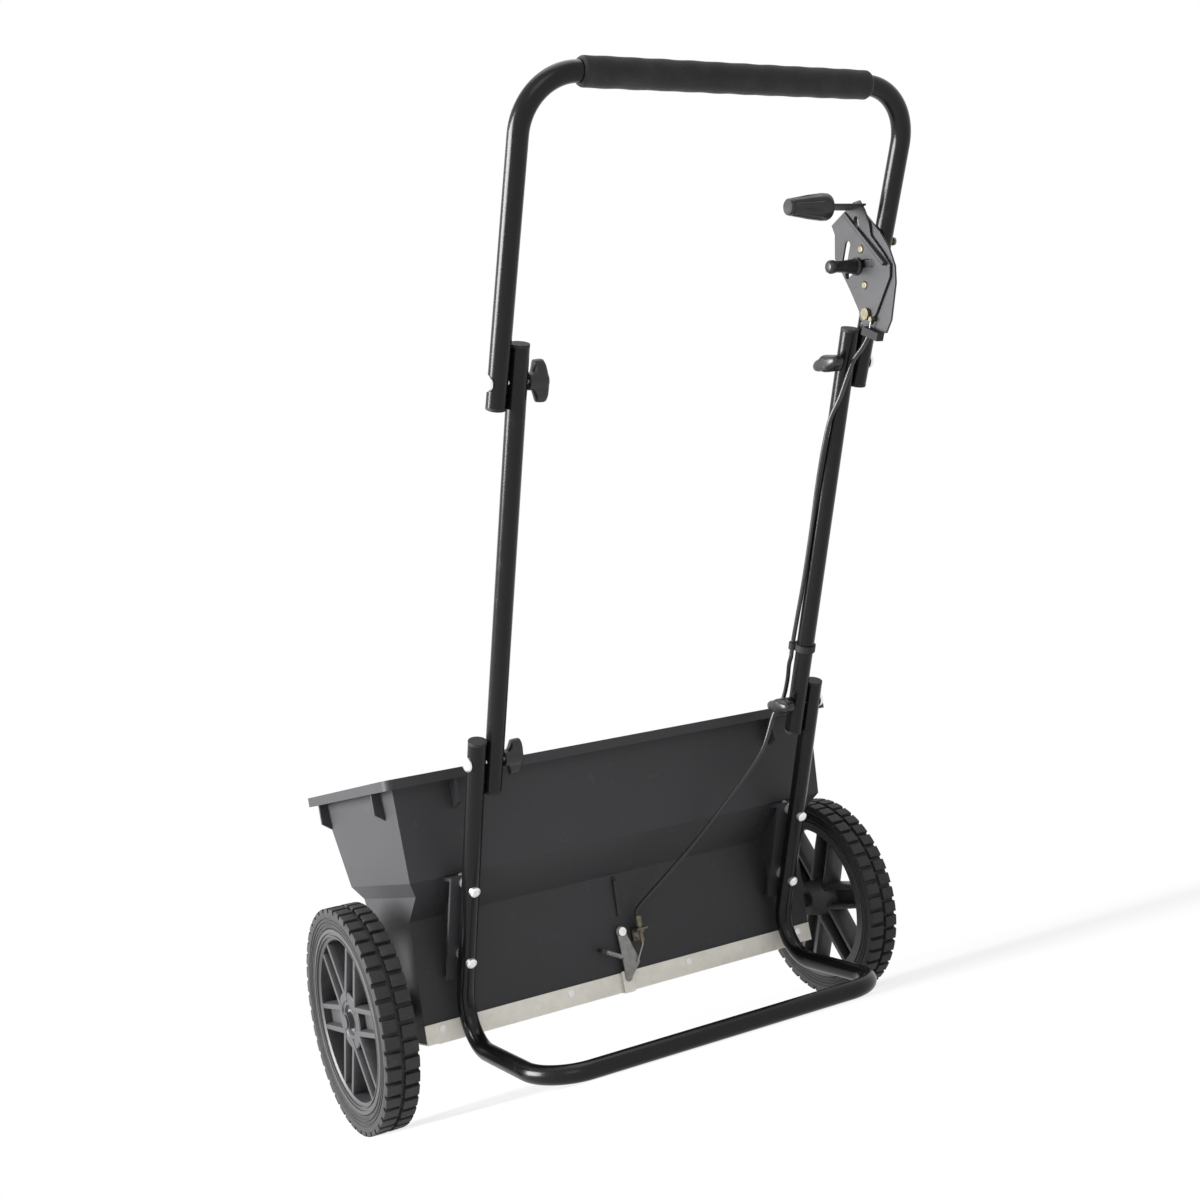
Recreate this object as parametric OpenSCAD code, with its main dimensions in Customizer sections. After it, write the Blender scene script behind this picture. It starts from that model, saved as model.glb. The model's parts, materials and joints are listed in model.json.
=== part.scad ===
// Push drop spreader for a lawn: a seed and feed hopper on two wheels, with a folding handle,
// a flow lever on the handle and a cable that slides the shutter under the hopper.
// Every piece is drawn in the hopper's own frame: the origin is the middle of the axle,
// +X right, +Y forward, +Z up and square to the hopper's rim. The whole machine is then
// tilted back onto its stand, so the floor is at Z = 0.

/* [Wheels] */
// Outer diameter of each tyre
wheel_d = 250; // [220:2:280]
// Width of each tyre
tyre_w = 38; // [32:1:46]
// Diameter of the wheel rim that the tyre sits on
rim_d = 204; // [180:2:214]
// Width of the wheel rim
rim_w = 34; // [28:1:40]
// Number of spokes in each wheel
spokes = 6; // [5:1:8]
// Width of a spoke at the hub
spoke_w = 27; // [20:1:30]
// Depth of a spoke along the axle
spoke_h = 24; // [18:1:28]
// Thickness of the walls of a spoke and of its web
spoke_wall = 4; // [3:0.5:5]
// Number of tread blocks in one row
tread_blocks = 44; // [30:2:52]
// Depth of the tread grooves
tread_depth = 5; // [3:0.5:7]
// Width of the grooves of the tread
tread_groove = 4; // [3:0.5:6]
// Diameter of the wheel hub
hub_d = 38; // [30:1:46]
// Length of the wheel hub
hub_len = 38; // [32:1:44]
// Distance that the hub stands in from the middle of the wheel
hub_back = 30; // [26:1:34]
// Diameter of the axle
axle_d = 12; // [10:1:16]
// Radial clearance of a shaft that turns in a bore
run_gap = 0.05; // [0.03:0.01:0.09]
// Gap along the axle between pieces that turn against each other
side_gap = 0.3; // [0.3:0.1:0.8]
// Length of the spacer sleeve between hopper bush and wheel hub
spacer_len = 21; // [14:1:28]
// Wall of the spacer sleeve
spacer_wall = 3; // [2:0.5:4]

/* [Hopper] */
// Length of the lower body of the hopper, across the machine
hopper_len = 524; // [460:4:600]
// Wall thickness of the hopper
wall = 3; // [2.5:0.5:4]
// Height of the hopper's rim over the axle
rim_z = 250; // [220:5:280]
// Height of the folded edge of the rim
rim_skirt = 11; // [8:1:16]
// How far the rim stands out from the end walls
rim_out_end = 13; // [9:1:20]
// How far the rim stands out from the front and rear walls
rim_out_side = 16; // [10:1:20]
// Corner radius of the rim
rim_r = 9; // [4:1:12]
// Height of the crease under the upper tub
crease_z = 137; // [125:1:150]
// Height of the crease over the lower panel
crease_low_z = 93; // [84:1:104]
// Height at which the lower panel turns in
turn_z = 43; // [34:1:52]
// Height at which the walls stand in the outlet pan
pan_z = -22; // [-26:1:-20]
// Distance of the rear wall behind the axle at the rim
rear_rim_y = 115; // [105:1:125]
// Distance of the rear wall behind the axle at the upper crease
rear_crease_y = 103; // [96:1:112]
// Distance of the rear wall behind the axle at the lower crease
rear_low_y = 50; // [46:1:58]
// Distance of the rear wall behind the axle where the lower panel turns in
rear_turn_y = 46; // [42:1:52]
// Distance of the walls from the axle at the outlet pan
pan_half = 38.5; // [34:0.5:46]
// Distance of the front wall from the axle at the rim
front_rim_y = 136; // [120:1:150]
// How far the end walls lean out from the upper crease to the rim
end_flare = 6; // [0:1:16]
// How far the upper tub stands out from the lower end walls
end_step = 11; // [4:1:16]
// Height of the ribs under the rim
rib_h = 32; // [20:1:40]
// Thickness of the ribs under the rim
rib_t = 4; // [3:0.5:6]
// Width of the stand brackets moulded on the rear wall
bracket_w = 35; // [30:1:40]
// Depth of the side pockets of the stand brackets
pocket = 12; // [8:0.5:14]
// Wall left round the pockets of the stand brackets
pocket_wall = 4; // [3:0.5:6]

/* [Outlet] */
// Depth of the outlet pan under the hopper walls
pan_h = 20; // [16:1:26]
// Sheet thickness of the outlet pan and of the shutter
sheet = 1.5; // [1.2:0.1:2]
// Distance between two outlet holes
outlet_pitch = 22; // [18:1:26]
// Diameter of an outlet hole
outlet_d = 9; // [6:0.5:9.5]
// Clear gap between the pan and the sliding shutter
shutter_gap = 0.4; // [0.3:0.1:0.8]
// Radius that the agitator blades sweep
agitator_r = 31; // [22:1:32]
// Number of agitator blades
agitator_blades = 8; // [4:1:12]
// Distance of the crank pivot over the axle
crank_z = 26; // [20:1:32]
// Distance of the crank pivot left of the middle
crank_x = 6; // [2:1:12]
// Length of the crank from its pivot to the shutter pin
crank_len = 54; // [50:1:56]

/* [Frame tubes] */
// Outer diameter of the frame tubes
tube_d = 20; // [18:0.5:24]
// Wall thickness of the frame tubes
tube_wall = 1.2; // [1:0.1:2.5]
// Gap between two tubes that fold past each other
tube_gap = 0.4; // [0.3:0.1:1]
// Distance of the stand and handle legs from the middle
leg_x = 216; // [190:1:230]
// Distance of the stand's lower bend behind the axle
bend_y = 28; // [22:1:34]
// Distance of the stand's lower bend below the axle
bend_z = 49; // [44:1:54]
// Lean of the stand's uprights from the rim's normal
stand_lean = 31; // [27:0.5:34]
// Length of the stand's uprights from the lower bend
upright_len = 371; // [340:1:400]
// Bend radius between upright and foot
bend_r = 45; // [34:1:56]
// Fall of the stand's foot towards the rear
foot_fall = 7.5; // [4:0.5:11]
// Length of the foot from the lower bend to the cross bar
foot_len = 213; // [180:1:240]
// Bend radius of the foot's corners
foot_r = 50; // [36:1:64]
// Distance of the lower frame bolts from the lower bend
bolt_low = 109; // [100:1:118]
// Distance of the upper frame bolts from the lower bend
bolt_high = 199; // [190:1:206]
// Diameter of the frame bolts
bolt_d = 6; // [5:0.5:8]
// Thickness of the washer between tube and bracket
washer_t = 2.5; // [1.5:0.5:4]
// Distance of a knob bolt from the end of a stand or handle tube
leg_end = 23; // [18:1:30]
// Distance of a knob bolt from the end of a middle tube
middle_end = 34; // [26:1:36]
// Distance between the two knob bolts of a middle tube
middle_len = 405; // [360:1:440]
// Lean of the middle tubes from the rim's normal
middle_lean = 32; // [28:0.5:35]
// Lean of the upper handle from the rim's normal
handle_lean = 35; // [31:0.5:38]
// Length of the upper handle from its knob bolts to its cross tube
handle_len = 283; // [260:1:310]
// Bend radius of the upper handle's corners
handle_r = 56; // [40:1:64]
// Outer diameter of the foam grip
grip_d = 28; // [25:0.5:34]
// Length of the foam grip
grip_len = 320; // [260:2:320]

/* [Knobs] */
// Span of a knob's wings
knob_span = 44; // [36:1:48]
// Thickness of a knob's wings
knob_t = 7; // [5:0.5:9]
// Diameter of a knob's hub
knob_hub = 20; // [16:0.5:24]
// Length of a knob along its bolt
knob_len = 29; // [24:1:34]

/* [Flow control] */
// Thickness of the control plate and of the lever
plate_t = 2.5; // [2:0.1:3]
// Gap between the control plate and the lever
plate_gap = 0.5; // [0.3:0.1:0.8]
// Distance of the lever pivot above the knob bolt, along the leg
pivot_s = 57; // [54:1:60]
// Distance of the lever pivot behind the middle of the leg
pivot_t = 15; // [13:1:18]
// Radius of the stop slots from the lever pivot
slot_r = 52; // [48:1:54]
// Width of the stop slots
slot_w = 8; // [7:0.5:9]
// Swing of the lever from shut to fully open, in degrees
swing = 28; // [20:1:28]
// Travel of the stop along its slot, in degrees
stop_travel = 20; // [10:1:22]
// Angle of the lever arm at rest from the leg, in degrees
arm_angle = 25; // [22:1:28]
// Length of the lever arm from its pivot to the grip
arm_len = 111; // [100:1:120]
// Length of the tab that carries the lever grip
tab_len = 47; // [40:1:54]
// Length of the lever grip
lever_grip_len = 50; // [40:1:56]
// Diameter of the lever grip at its thick end
lever_grip_d = 28; // [22:1:30]
// Diameter of the lever grip at its tip
lever_tip_d = 17; // [14:0.5:20]
// Length of the stop knob
stop_len = 38; // [30:1:44]
// Diameter of the stop knob
stop_d = 15; // [12:0.5:17]

/* [Cable] */
// Outer diameter of the cable casing
casing_d = 5; // [4:0.5:6]
// Diameter of the inner wire
wire_d = 1.6; // [1.2:0.1:2]
// Diameter of the spring's coils
spring_d = 6; // [5:0.5:8]
// Number of coils of the spring
spring_coils = 9; // [6:1:12]

/* [Hidden] */
$fn = 48;
eps = 0.01;

wheel_r = wheel_d / 2;
rim_seat_r = rim_d / 2;
rim_t = 12;
tube_r = tube_d / 2;
axle_r = axle_d / 2;
casing_r = casing_d / 2;
casing_play = 0.25;

// Places along the axle
hopper_half = hopper_len / 2;
bush_flange = 6;
hub_in_x = hopper_half + bush_flange + spacer_len + 2 * side_gap;
wheel_x = hub_in_x + hub_back;
hub_out_x = hub_in_x + hub_len;
washer_axle_t = 2;
cap_x = hub_out_x + side_gap + washer_axle_t;
cap_len = 8;

// Heights and outlines of the hopper
tub_half = hopper_half + end_step;
rim_half = tub_half + end_flare;
skirt_z = rim_z - rim_skirt;
floor_z = pan_z - pan_h;
step_z = crease_z - 1.5 * end_step;

// Floor height and tilt: the wheels and the foot's cross bar touch the floor together
foot_end = [-bend_y - foot_len * cos(foot_fall), -bend_z - foot_len * sin(foot_fall)];
tilt = asin((wheel_r - tube_r) / norm(foot_end)) - atan2(-foot_end.y, -foot_end.x);

// Fold axes, in the hopper's frame: [y, z]
lower_fold = along([-bend_y, -bend_z], stand_lean, upright_len - leg_end, 0);
upper_fold = along(lower_fold, middle_lean, middle_len, 0);
handle_top = along(upper_fold, handle_lean, handle_len, 0);
middle_x = leg_x - tube_d - tube_gap;
reach = handle_top.x * cos(tilt) - handle_top.y * sin(tilt) - grip_d / 2;
axle_y = -(reach + wheel_r) / 2;

// A point in the YZ plane: s along a line that leans back from p, d in front of that line
function along(p, lean, s, d) = [p.x - s * sin(lean) + d * cos(lean), p.y + s * cos(lean) + d * sin(lean)];
function stand_pt(s, d) = along([-bend_y, -bend_z], stand_lean, s, d);
function unit(v) = v / norm(v);
function left_of(v) = [-v.y, v.x];
// Points of a closed anticlockwise outline moved inwards by t, with mitred corners
function inset(pts, t) = [for (i = [0:len(pts) - 1])
    let (n = len(pts), p = pts[i],
         a = left_of(unit(p - pts[(i + n - 1) % n])),
         b = left_of(unit(pts[(i + 1) % n] - p)),
         m = unit(a + b))
    p + m * t / (m * a)];

// Hopper outlines, taller than the hopper so that the inset leaves the mouth and foot open
over = 12;
front_slope = (front_rim_y - pan_half) / (rim_z - pan_z);
side_outline = [
    [-pan_half, floor_z - over], [pan_half, floor_z - over], [pan_half, pan_z],
    [front_rim_y + over * front_slope, rim_z + over],
    [-rear_rim_y, rim_z + over], [-rear_crease_y, crease_z], [-rear_low_y, crease_low_z],
    [-rear_turn_y, turn_z], [-pan_half, pan_z]];
end_outline = [
    [-hopper_half, floor_z - over], [hopper_half, floor_z - over], [hopper_half, step_z],
    [tub_half, crease_z], [rim_half, rim_z + over], [-rim_half, rim_z + over],
    [-tub_half, crease_z], [-hopper_half, step_z]];

// Half of the foot's cross bar
cross_half = leg_x - foot_r;

// Outlet
pan_floor_z = floor_z;
shutter_z = pan_floor_z - sheet - shutter_gap;
shutter_travel = outlet_pitch / 2;
shutter_half = pan_half - 4;
outlets = 2 * floor((hopper_half - 30) / outlet_pitch) + 1;
tab_y = -pan_half - sheet - 3.5;
crank_y = tab_y - sheet - 2.5;
crank_t = 2.5;
pin_z = crank_z - crank_len;
wire_hole = [14, -38];
spring_hole = [-3, -30];
spring_peg = [36, 10];
spring_y = crank_y - crank_t / 2 - spring_d / 2 - 0.8;
adjuster_x = 16;
adjuster_y = crank_y - 8.5;
adjuster_z = 24;
adjuster_len = 32;
ear_w = 14;
pad_y = rear_turn_y;
pad_h = 15;

// Flow control, in the handle's frame: x across, y in front of the leg, z along it
plate_x = leg_x - tube_r;
lever_x = plate_x - plate_t - plate_gap;
wire_x = lever_x - plate_t - 2.2;
wire_t = -25.7;
cable_arm = 11;
stop_angle = 35;
clamp_s = 36;
clamp_h = 8.6;

// Cable casing: centre points, chosen by hand. Upper run: handle frame.
upper_route = [[wire_x, wire_t, 43.6], [wire_x, wire_t, 36], [195, -24, 24], [190, -19, 8], [188, -16, -12],
    [186, -13, -34], [182, -8, -60], [181, -6.5, -90], [181.5, -6, -120], [182.5, -6, -150]];
// Middle run: middle frame, from the end of the upper run down to the clip.
middle_route = [to_middle([182.5, -6, -150.4]), [183, 2, middle_len - 190], [183, 3, middle_len - 250], [183.4, 6, 110], [183.7, 7.9, 80],
    [183.7, 7.9, 62]];
// Lower run: hopper frame, from the clip to the cable adjuster.
lower_route = [along3(183.7, 61.6, 7.9), along3(183.7, 57, 7.9), along3(185, 46, 11), along3(188.5, 24, 14.5), along3(188, 0, 17),
    along3(180, -22, 20), [164, -166, 205], [140, -152, 176], [112, -134, 146], [84, -114, 116],
    [58, -93, 90], [36, -74, 68], [22, -62, 54], [adjuster_x, adjuster_y, 46], [adjuster_x, adjuster_y, 41], [adjuster_x, adjuster_y, 36]];
// A point of the handle's frame in the middle tubes' frame
function to_middle(p) = let (a = handle_lean - middle_lean)
    [p.x, p.y * cos(a) - p.z * sin(a), middle_len + p.y * sin(a) + p.z * cos(a)];
function along3(x, s, d) = let (p = along(lower_fold, middle_lean, s, d)) [x, p.x, p.y];

// Smooth points through a route, n to each stretch
function spline(p, n) = [for (i = [0:len(p) - 2]) for (k = [0:n - 1])
    let (t = k / n, a = p[max(i - 1, 0)], b = p[i], c = p[i + 1], d = p[min(i + 2, len(p) - 1)])
    0.5 * ((2 * b) + (c - a) * t + (2 * a - 5 * b + 4 * c - d) * t * t + (3 * b - a - 3 * c + d) * t * t * t),
    p[len(p) - 1]];
// Ring of points round one point of a path
function ring(c, t, r, sides, ref) = let (u = unit(cross(t, ref)), v = cross(u, unit(t)))
    [for (k = [0:sides - 1]) c + r * (cos(360 * k / sides) * u + sin(360 * k / sides) * v)];

// ---- frames and shared shapes ----

// Hopper frame, tilted back onto the stand and lifted to the floor
module parked() {
    translate([0, axle_y, wheel_r]) rotate([tilt, 0, 0]) children();
}

// Frame of the stand's uprights: origin at the lower bend, +Z up the upright
module stand_axes() {
    parked() translate([0, -bend_y, -bend_z]) rotate([stand_lean, 0, 0]) children();
}

// Frame of the middle tubes: origin at their lower knob bolts
module middle_axes() {
    parked() translate([0, lower_fold.x, lower_fold.y]) rotate([middle_lean, 0, 0]) children();
}

// Frame of the upper handle: origin at its knob bolts
module handle_axes() {
    parked() translate([0, upper_fold.x, upper_fold.y]) rotate([handle_lean, 0, 0]) children();
}

// Both sides of the machine
module both_sides() {
    children();
    mirror([1, 0, 0]) children();
}

// Extrude an outline of the YZ plane along +X, from x
module side_sheet(x, t) {
    translate([x, 0, 0]) rotate([90, 0, 90]) linear_extrude(t) children();
}

// Rod along X, from x0 to x1
module rod_x(x0, x1, r) {
    translate([x0, 0, 0]) rotate([0, 90, 0]) cylinder(h = x1 - x0, r = r);
}

// Straight piece of tube along Z, from z0 to z1
module tube_z(z0, z1) {
    translate([0, 0, z0]) difference() {
        cylinder(h = z1 - z0, r = tube_r);
        translate([0, 0, -eps]) cylinder(h = z1 - z0 + 2 * eps, r = tube_r - tube_wall);
    }
}

// Bent piece of tube: it starts at the origin going along +Z and bends towards +Y
module tube_bend(r, a) {
    translate([0, r, 0]) rotate([0, -90, 0]) rotate([0, 0, -90]) rotate_extrude(angle = a)
        translate([r, 0]) difference() {
            circle(tube_r);
            circle(tube_r - tube_wall);
        }
}

// Tube swept along points, closed at both ends
module swept(points, r, sides, ref) {
    n = len(points);
    rings = [for (i = [0:n - 1])
        ring(points[i], points[min(i + 1, n - 1)] - points[max(i - 1, 0)], r, sides, ref)];
    polyhedron(
        points = [for (g = rings) for (p = g) p],
        faces = concat(
            [[for (k = [0:sides - 1]) k]],
            [for (i = [0:n - 2]) for (k = [0:sides - 1])
                [i * sides + k, (i + 1) * sides + k, (i + 1) * sides + (k + 1) % sides, i * sides + (k + 1) % sides]],
            [[for (k = [sides - 1:-1:0]) (n - 1) * sides + k]]));
}

// ---- hopper ----

module hopper_inside() {
    intersection() {
        side_sheet(-rim_half - over, 2 * (rim_half + over)) polygon(inset(side_outline, wall));
        translate([0, front_rim_y + over, 0]) rotate([90, 0, 0])
            linear_extrude(front_rim_y + rear_rim_y + 2 * over) polygon(inset(end_outline, wall));
    }
}

module hopper_outside() {
    intersection() {
        side_sheet(-rim_half - over, 2 * (rim_half + over)) polygon(side_outline);
        translate([0, front_rim_y + over, 0]) rotate([90, 0, 0])
            linear_extrude(front_rim_y + rear_rim_y + 2 * over) polygon(end_outline);
        translate([-rim_half - over, -rear_rim_y - over, floor_z])
            cube([2 * (rim_half + over), front_rim_y + rear_rim_y + 2 * over, rim_z - floor_z]);
    }
}

// Rounded plate over the rim's plan, less a margin m, from z0 to z1
module rim_plate(m, z0, z1) {
    x = rim_half + rim_out_end - m;
    y0 = -rear_rim_y - rim_out_side + m;
    y1 = front_rim_y + rim_out_side - m;
    r = max(rim_r - m, 1);
    translate([0, 0, z0]) linear_extrude(z1 - z0) {
        translate([-x, y0 + r]) square([2 * x, y1 - y0 - 2 * r]);
        translate([-x + r, y0]) square([2 * x - 2 * r, y1 - y0]);
        for (sx = [-1, 1], y = [y0 + r, y1 - r]) translate([sx * (x - r), y]) circle(r);
    }
}

// Bracket that carries one stand upright: a box with a pocket in each side and bosses for the bolts
module stand_bracket() {
    face = tube_r + washer_t;
    outline = [[-rear_crease_y + 1, crease_z - 1], stand_pt(bolt_high + 7, face), stand_pt(bolt_low - 16, face),
        [-rear_turn_y - 14, turn_z - 20], [-rear_turn_y + 2, turn_z - 20], [-rear_turn_y + 1, turn_z],
        [-rear_low_y + 1, crease_low_z]];
    hollow = [[-rear_crease_y, crease_z - pocket_wall - 1],
        stand_pt(bolt_high + 1, face + pocket_wall), stand_pt(bolt_low - 12, face + pocket_wall),
        [-rear_turn_y - 10, turn_z - 20 + pocket_wall], [-rear_turn_y, turn_z - 20 + pocket_wall],
        [-rear_turn_y, turn_z], [-rear_low_y, crease_low_z]];
    web = bracket_w - 2 * pocket;
    difference() {
        side_sheet(leg_x - bracket_w / 2, bracket_w) polygon(outline);
        for (x = [leg_x - bracket_w / 2 - 1, leg_x + web / 2])
            difference() {
                side_sheet(x, pocket + 1) polygon(hollow);
                for (s = [bolt_low, bolt_high]) bolt_axis(s) translate([0, 0, -face - 60]) cylinder(h = 60, r = 8);
            }
    }
}

// Axis of a frame bolt: origin on the upright's centre line, +Z towards the rear
module bolt_axis(s) {
    translate([leg_x, -bend_y, -bend_z]) rotate([stand_lean, 0, 0]) translate([0, 0, s]) rotate([90, 0, 0]) children();
}

module rim_ribs() {
    rib = [[0, 0], [rim_out_end - wall + 1, 0], [rim_out_end - wall + 1, -0.75 * rib_h], [0, -rib_h]];
    for (y = [-0.62 * rear_rim_y, 0.88 * front_rim_y])
        both_sides() translate([rim_half - 3, y + rib_t / 2, skirt_z + 1]) rotate([90, 0, 0])
            linear_extrude(rib_t) polygon([for (p = rib) [p.x + 1, p.y]]);
    both_sides() translate([leg_x - 6, 0, 0]) {
        side_sheet(-rib_t / 2, rib_t) polygon([[-rear_rim_y + 2, skirt_z + 1],
            [-rear_rim_y + 2, skirt_z - rib_h], [-rear_rim_y - rim_out_side + wall, skirt_z - 0.8 * rib_h],
            [-rear_rim_y - rim_out_side + wall, skirt_z + 1]]);
    }
}

module hopper() {
    color([0.045, 0.045, 0.05]) parked() difference() {
        union() {
            difference() {
                union() {
                    hopper_outside();
                    rim_plate(0, rim_z - wall, rim_z);
                    both_sides() stand_bracket();
                    rim_ribs();
                    // Stiffening rib, screw boss for the crank and pad for the cable bracket
                    side_sheet(-crank_x, 4) polygon([[-rear_low_y + 1, crease_low_z], [-rear_low_y - 4, crease_low_z - 8],
                        [-rear_turn_y - 3, turn_z + 2], [-rear_turn_y + 1, turn_z]]);
                    translate([adjuster_x - ear_w / 2, -pad_y, adjuster_z - pad_h + 2]) cube([ear_w, 6, pad_h]);
                    translate([-crank_x, -pan_half + 1, crank_z]) rotate([90, 0, 0])
                        cylinder(h = -crank_y - pan_half + 1 - crank_t / 2 - side_gap, r = 6);
                    // Peg of the return spring
                    translate([-spring_peg.x, -pan_half, spring_peg.y]) rotate([90, 0, 0]) {
                        cylinder(h = -spring_y - pan_half + 3, r = 2);
                        translate([0, 0, -spring_y - pan_half + 1.6]) cylinder(h = 1.4, r = 3);
                    }
                }
                hopper_inside();
            }
            difference() {
                rim_plate(0, skirt_z, rim_z);
                rim_plate(wall, skirt_z - 1, rim_z + 1);
            }
        }
        // Seats of the axle bushes
        both_sides() rod_x(hopper_half - wall - 1, hopper_half + 1, axle_r + 4);
        // Holes of the frame bolts and of the crank screw
        both_sides() for (s = [bolt_low, bolt_high]) bolt_axis(s) translate([0, 0, -bolt_reach])
            cylinder(h = bolt_reach, r = bolt_d / 2);
        translate([-crank_x, -pan_half, crank_z]) rotate([90, 0, 0]) cylinder(h = 40, r = 2.5);
        translate([adjuster_x, -pad_y - 1, adjuster_z - 6]) rotate([-90, 0, 0]) cylinder(h = 4, r = 2);
        pan_screw_holes();
    }
}
bolt_reach = 26;

// ---- outlet ----

module outlet_pan() {
    w = pan_half + sheet;
    color([0.83, 0.82, 0.76]) parked() difference() {
        side_sheet(-hopper_half, hopper_len) polygon([[-w, pan_z], [-w, floor_z - sheet], [w, floor_z - sheet], [w, pan_z],
            [pan_half, pan_z], [pan_half, floor_z], [-pan_half, floor_z], [-pan_half, pan_z]]);
        outlet_holes(0, floor_z - sheet);
        pan_screw_holes();
        for (x = rivet_x) translate([x, rivet_y, floor_z - 5]) cylinder(h = 10, r = 2.5);
    }
}
pan_screw_x = [for (k = [-1.5:1:1.5]) k * (hopper_len - 40) / 3];
rivet_x = [for (k = [-1, 1]) k * (hopper_half - 60) + outlet_pitch / 4];
rivet_y = pan_half - 12;

module pan_screw_holes() {
    for (x = pan_screw_x) translate([x, 0, pan_z - 7]) rotate([90, 0, 0])
        cylinder(h = 2 * pan_half + 10, r = 2, center = true);
}

module outlet_holes(shift, z) {
    for (k = [0:outlets - 1])
        translate([(k - (outlets - 1) / 2) * outlet_pitch + shift, 0, z - 1]) cylinder(h = sheet + 2, r = outlet_d / 2);
}

module pan_screws() {
    color([0.6, 0.6, 0.58]) parked() for (x = pan_screw_x, side = [-1, 1])
        translate([x, side * (pan_half + sheet), pan_z - 7]) rotate([side * -90, 0, 0]) {
            cylinder(h = 2.4, r = 4);
            translate([0, 0, -sheet - wall]) cylinder(h = sheet + wall, r = 2);
        }
}

module shutter_plate() {
    color([0.8, 0.8, 0.76]) parked() difference() {
        union() {
            translate([-hopper_half + 16, -shutter_half, shutter_z - sheet]) cube([hopper_len - 32, 2 * shutter_half, sheet]);
            translate([-crank_x - 7, tab_y - sheet, shutter_z - sheet]) cube([14, -tab_y + sheet - shutter_half + 1, sheet]);
            translate([-crank_x - 7, tab_y - sheet, shutter_z - sheet]) cube([14, sheet, pin_z + 8 - shutter_z + sheet]);
        }
        outlet_holes(-shutter_travel, shutter_z - sheet);
        // Slots on which the shutter hangs and slides
        for (x = rivet_x) translate([x, rivet_y, shutter_z - sheet - 1]) linear_extrude(sheet + 2)
            slot_2d(shutter_travel + 1, 5.6);
        // Upright slot for the crank pin
        translate([-crank_x, tab_y + 1, pin_z]) rotate([90, 0, 0]) linear_extrude(sheet + 2) rotate(90)
            translate([0, 0]) slot_2d(2.5, 4.8);
    }
}

// Slot of width w whose ends are centred at -a and a along X
module slot_2d(a, w) {
    translate([-a, -w / 2]) square([2 * a, w]);
    for (s = [-1, 1]) translate([s * a, 0]) circle(w / 2);
}

module shutter_rivets() {
    color([0.7, 0.7, 0.7]) parked() for (x = rivet_x) translate([x, rivet_y, 0]) {
        translate([0, 0, floor_z]) cylinder(h = 1.5, r = 4.5);
        translate([0, 0, shutter_z - sheet - shutter_gap]) cylinder(h = floor_z - shutter_z + sheet + shutter_gap, r = 2.5);
        translate([0, 0, shutter_z - sheet - shutter_gap - 1.5]) cylinder(h = 1.5, r = 5.5);
    }
}

// ---- axle and agitator ----

module axle() {
    color([0.55, 0.55, 0.56]) parked() rod_x(-cap_x - cap_len + 2, cap_x + cap_len - 2, axle_r);
}

module agitator() {
    span = 2 * (hopper_half - 34);
    color([0.5, 0.5, 0.52]) parked() for (k = [0:agitator_blades - 1])
        translate([(k - (agitator_blades - 1) / 2) * span / agitator_blades, 0, 0]) rotate([90 * (k % 2) + 20, 0, 0])
            difference() {
                union() {
                    translate([-8, -agitator_r, -1.5]) cube([16, 2 * agitator_r, 3]);
                    rod_x(-8, 8, axle_r + 2.5);
                }
                rod_x(-9, 9, axle_r);
            }
}

module axle_bush() {
    difference() {
        union() {
            rod_x(hopper_half, hopper_half + bush_flange, 15);
            rod_x(hopper_half - wall - 3, hopper_half + eps, axle_r + 4);
        }
        rod_x(hopper_half - wall - 4, hopper_half + bush_flange + 1, axle_r + run_gap);
    }
}

module axle_bush_left() {
    color([0.12, 0.12, 0.12]) parked() mirror([1, 0, 0]) axle_bush();
}

module axle_bush_right() {
    color([0.12, 0.12, 0.12]) parked() axle_bush();
}

module axle_spacers() {
    x = hopper_half + bush_flange + side_gap;
    color([0.5, 0.5, 0.5]) parked() both_sides() difference() {
        rod_x(x, x + spacer_len, axle_r + spacer_wall);
        rod_x(x - 1, x + spacer_len + 1, axle_r);
    }
}

module axle_washers() {
    color([0.6, 0.6, 0.6]) parked() both_sides() difference() {
        rod_x(cap_x - washer_axle_t, cap_x, axle_r + 6);
        rod_x(cap_x - washer_axle_t - 1, cap_x + 1, axle_r);
    }
}

module hub_cap() {
    difference() {
        union() {
            rod_x(cap_x, cap_x + cap_len - 2, axle_r + 3.5);
            rod_x(cap_x, cap_x + cap_len, axle_r + 1.5);
        }
        rod_x(cap_x - 1, cap_x + cap_len - 2, axle_r);
    }
}

module hub_cap_left() {
    color([0.1, 0.1, 0.1]) parked() mirror([1, 0, 0]) hub_cap();
}

module hub_cap_right() {
    color([0.1, 0.1, 0.1]) parked() hub_cap();
}

// ---- wheels ----

// Spoke outline in the plane of the wheel, less a margin m on each flank
module spoke_2d(m, r0, r1) {
    w0 = spoke_w / 2 - m;
    w1 = 0.84 * spoke_w / 2 - m;
    polygon([[r0, -w0], [r1, -w1], [r1, w1], [r0, w0]]);
}

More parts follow.
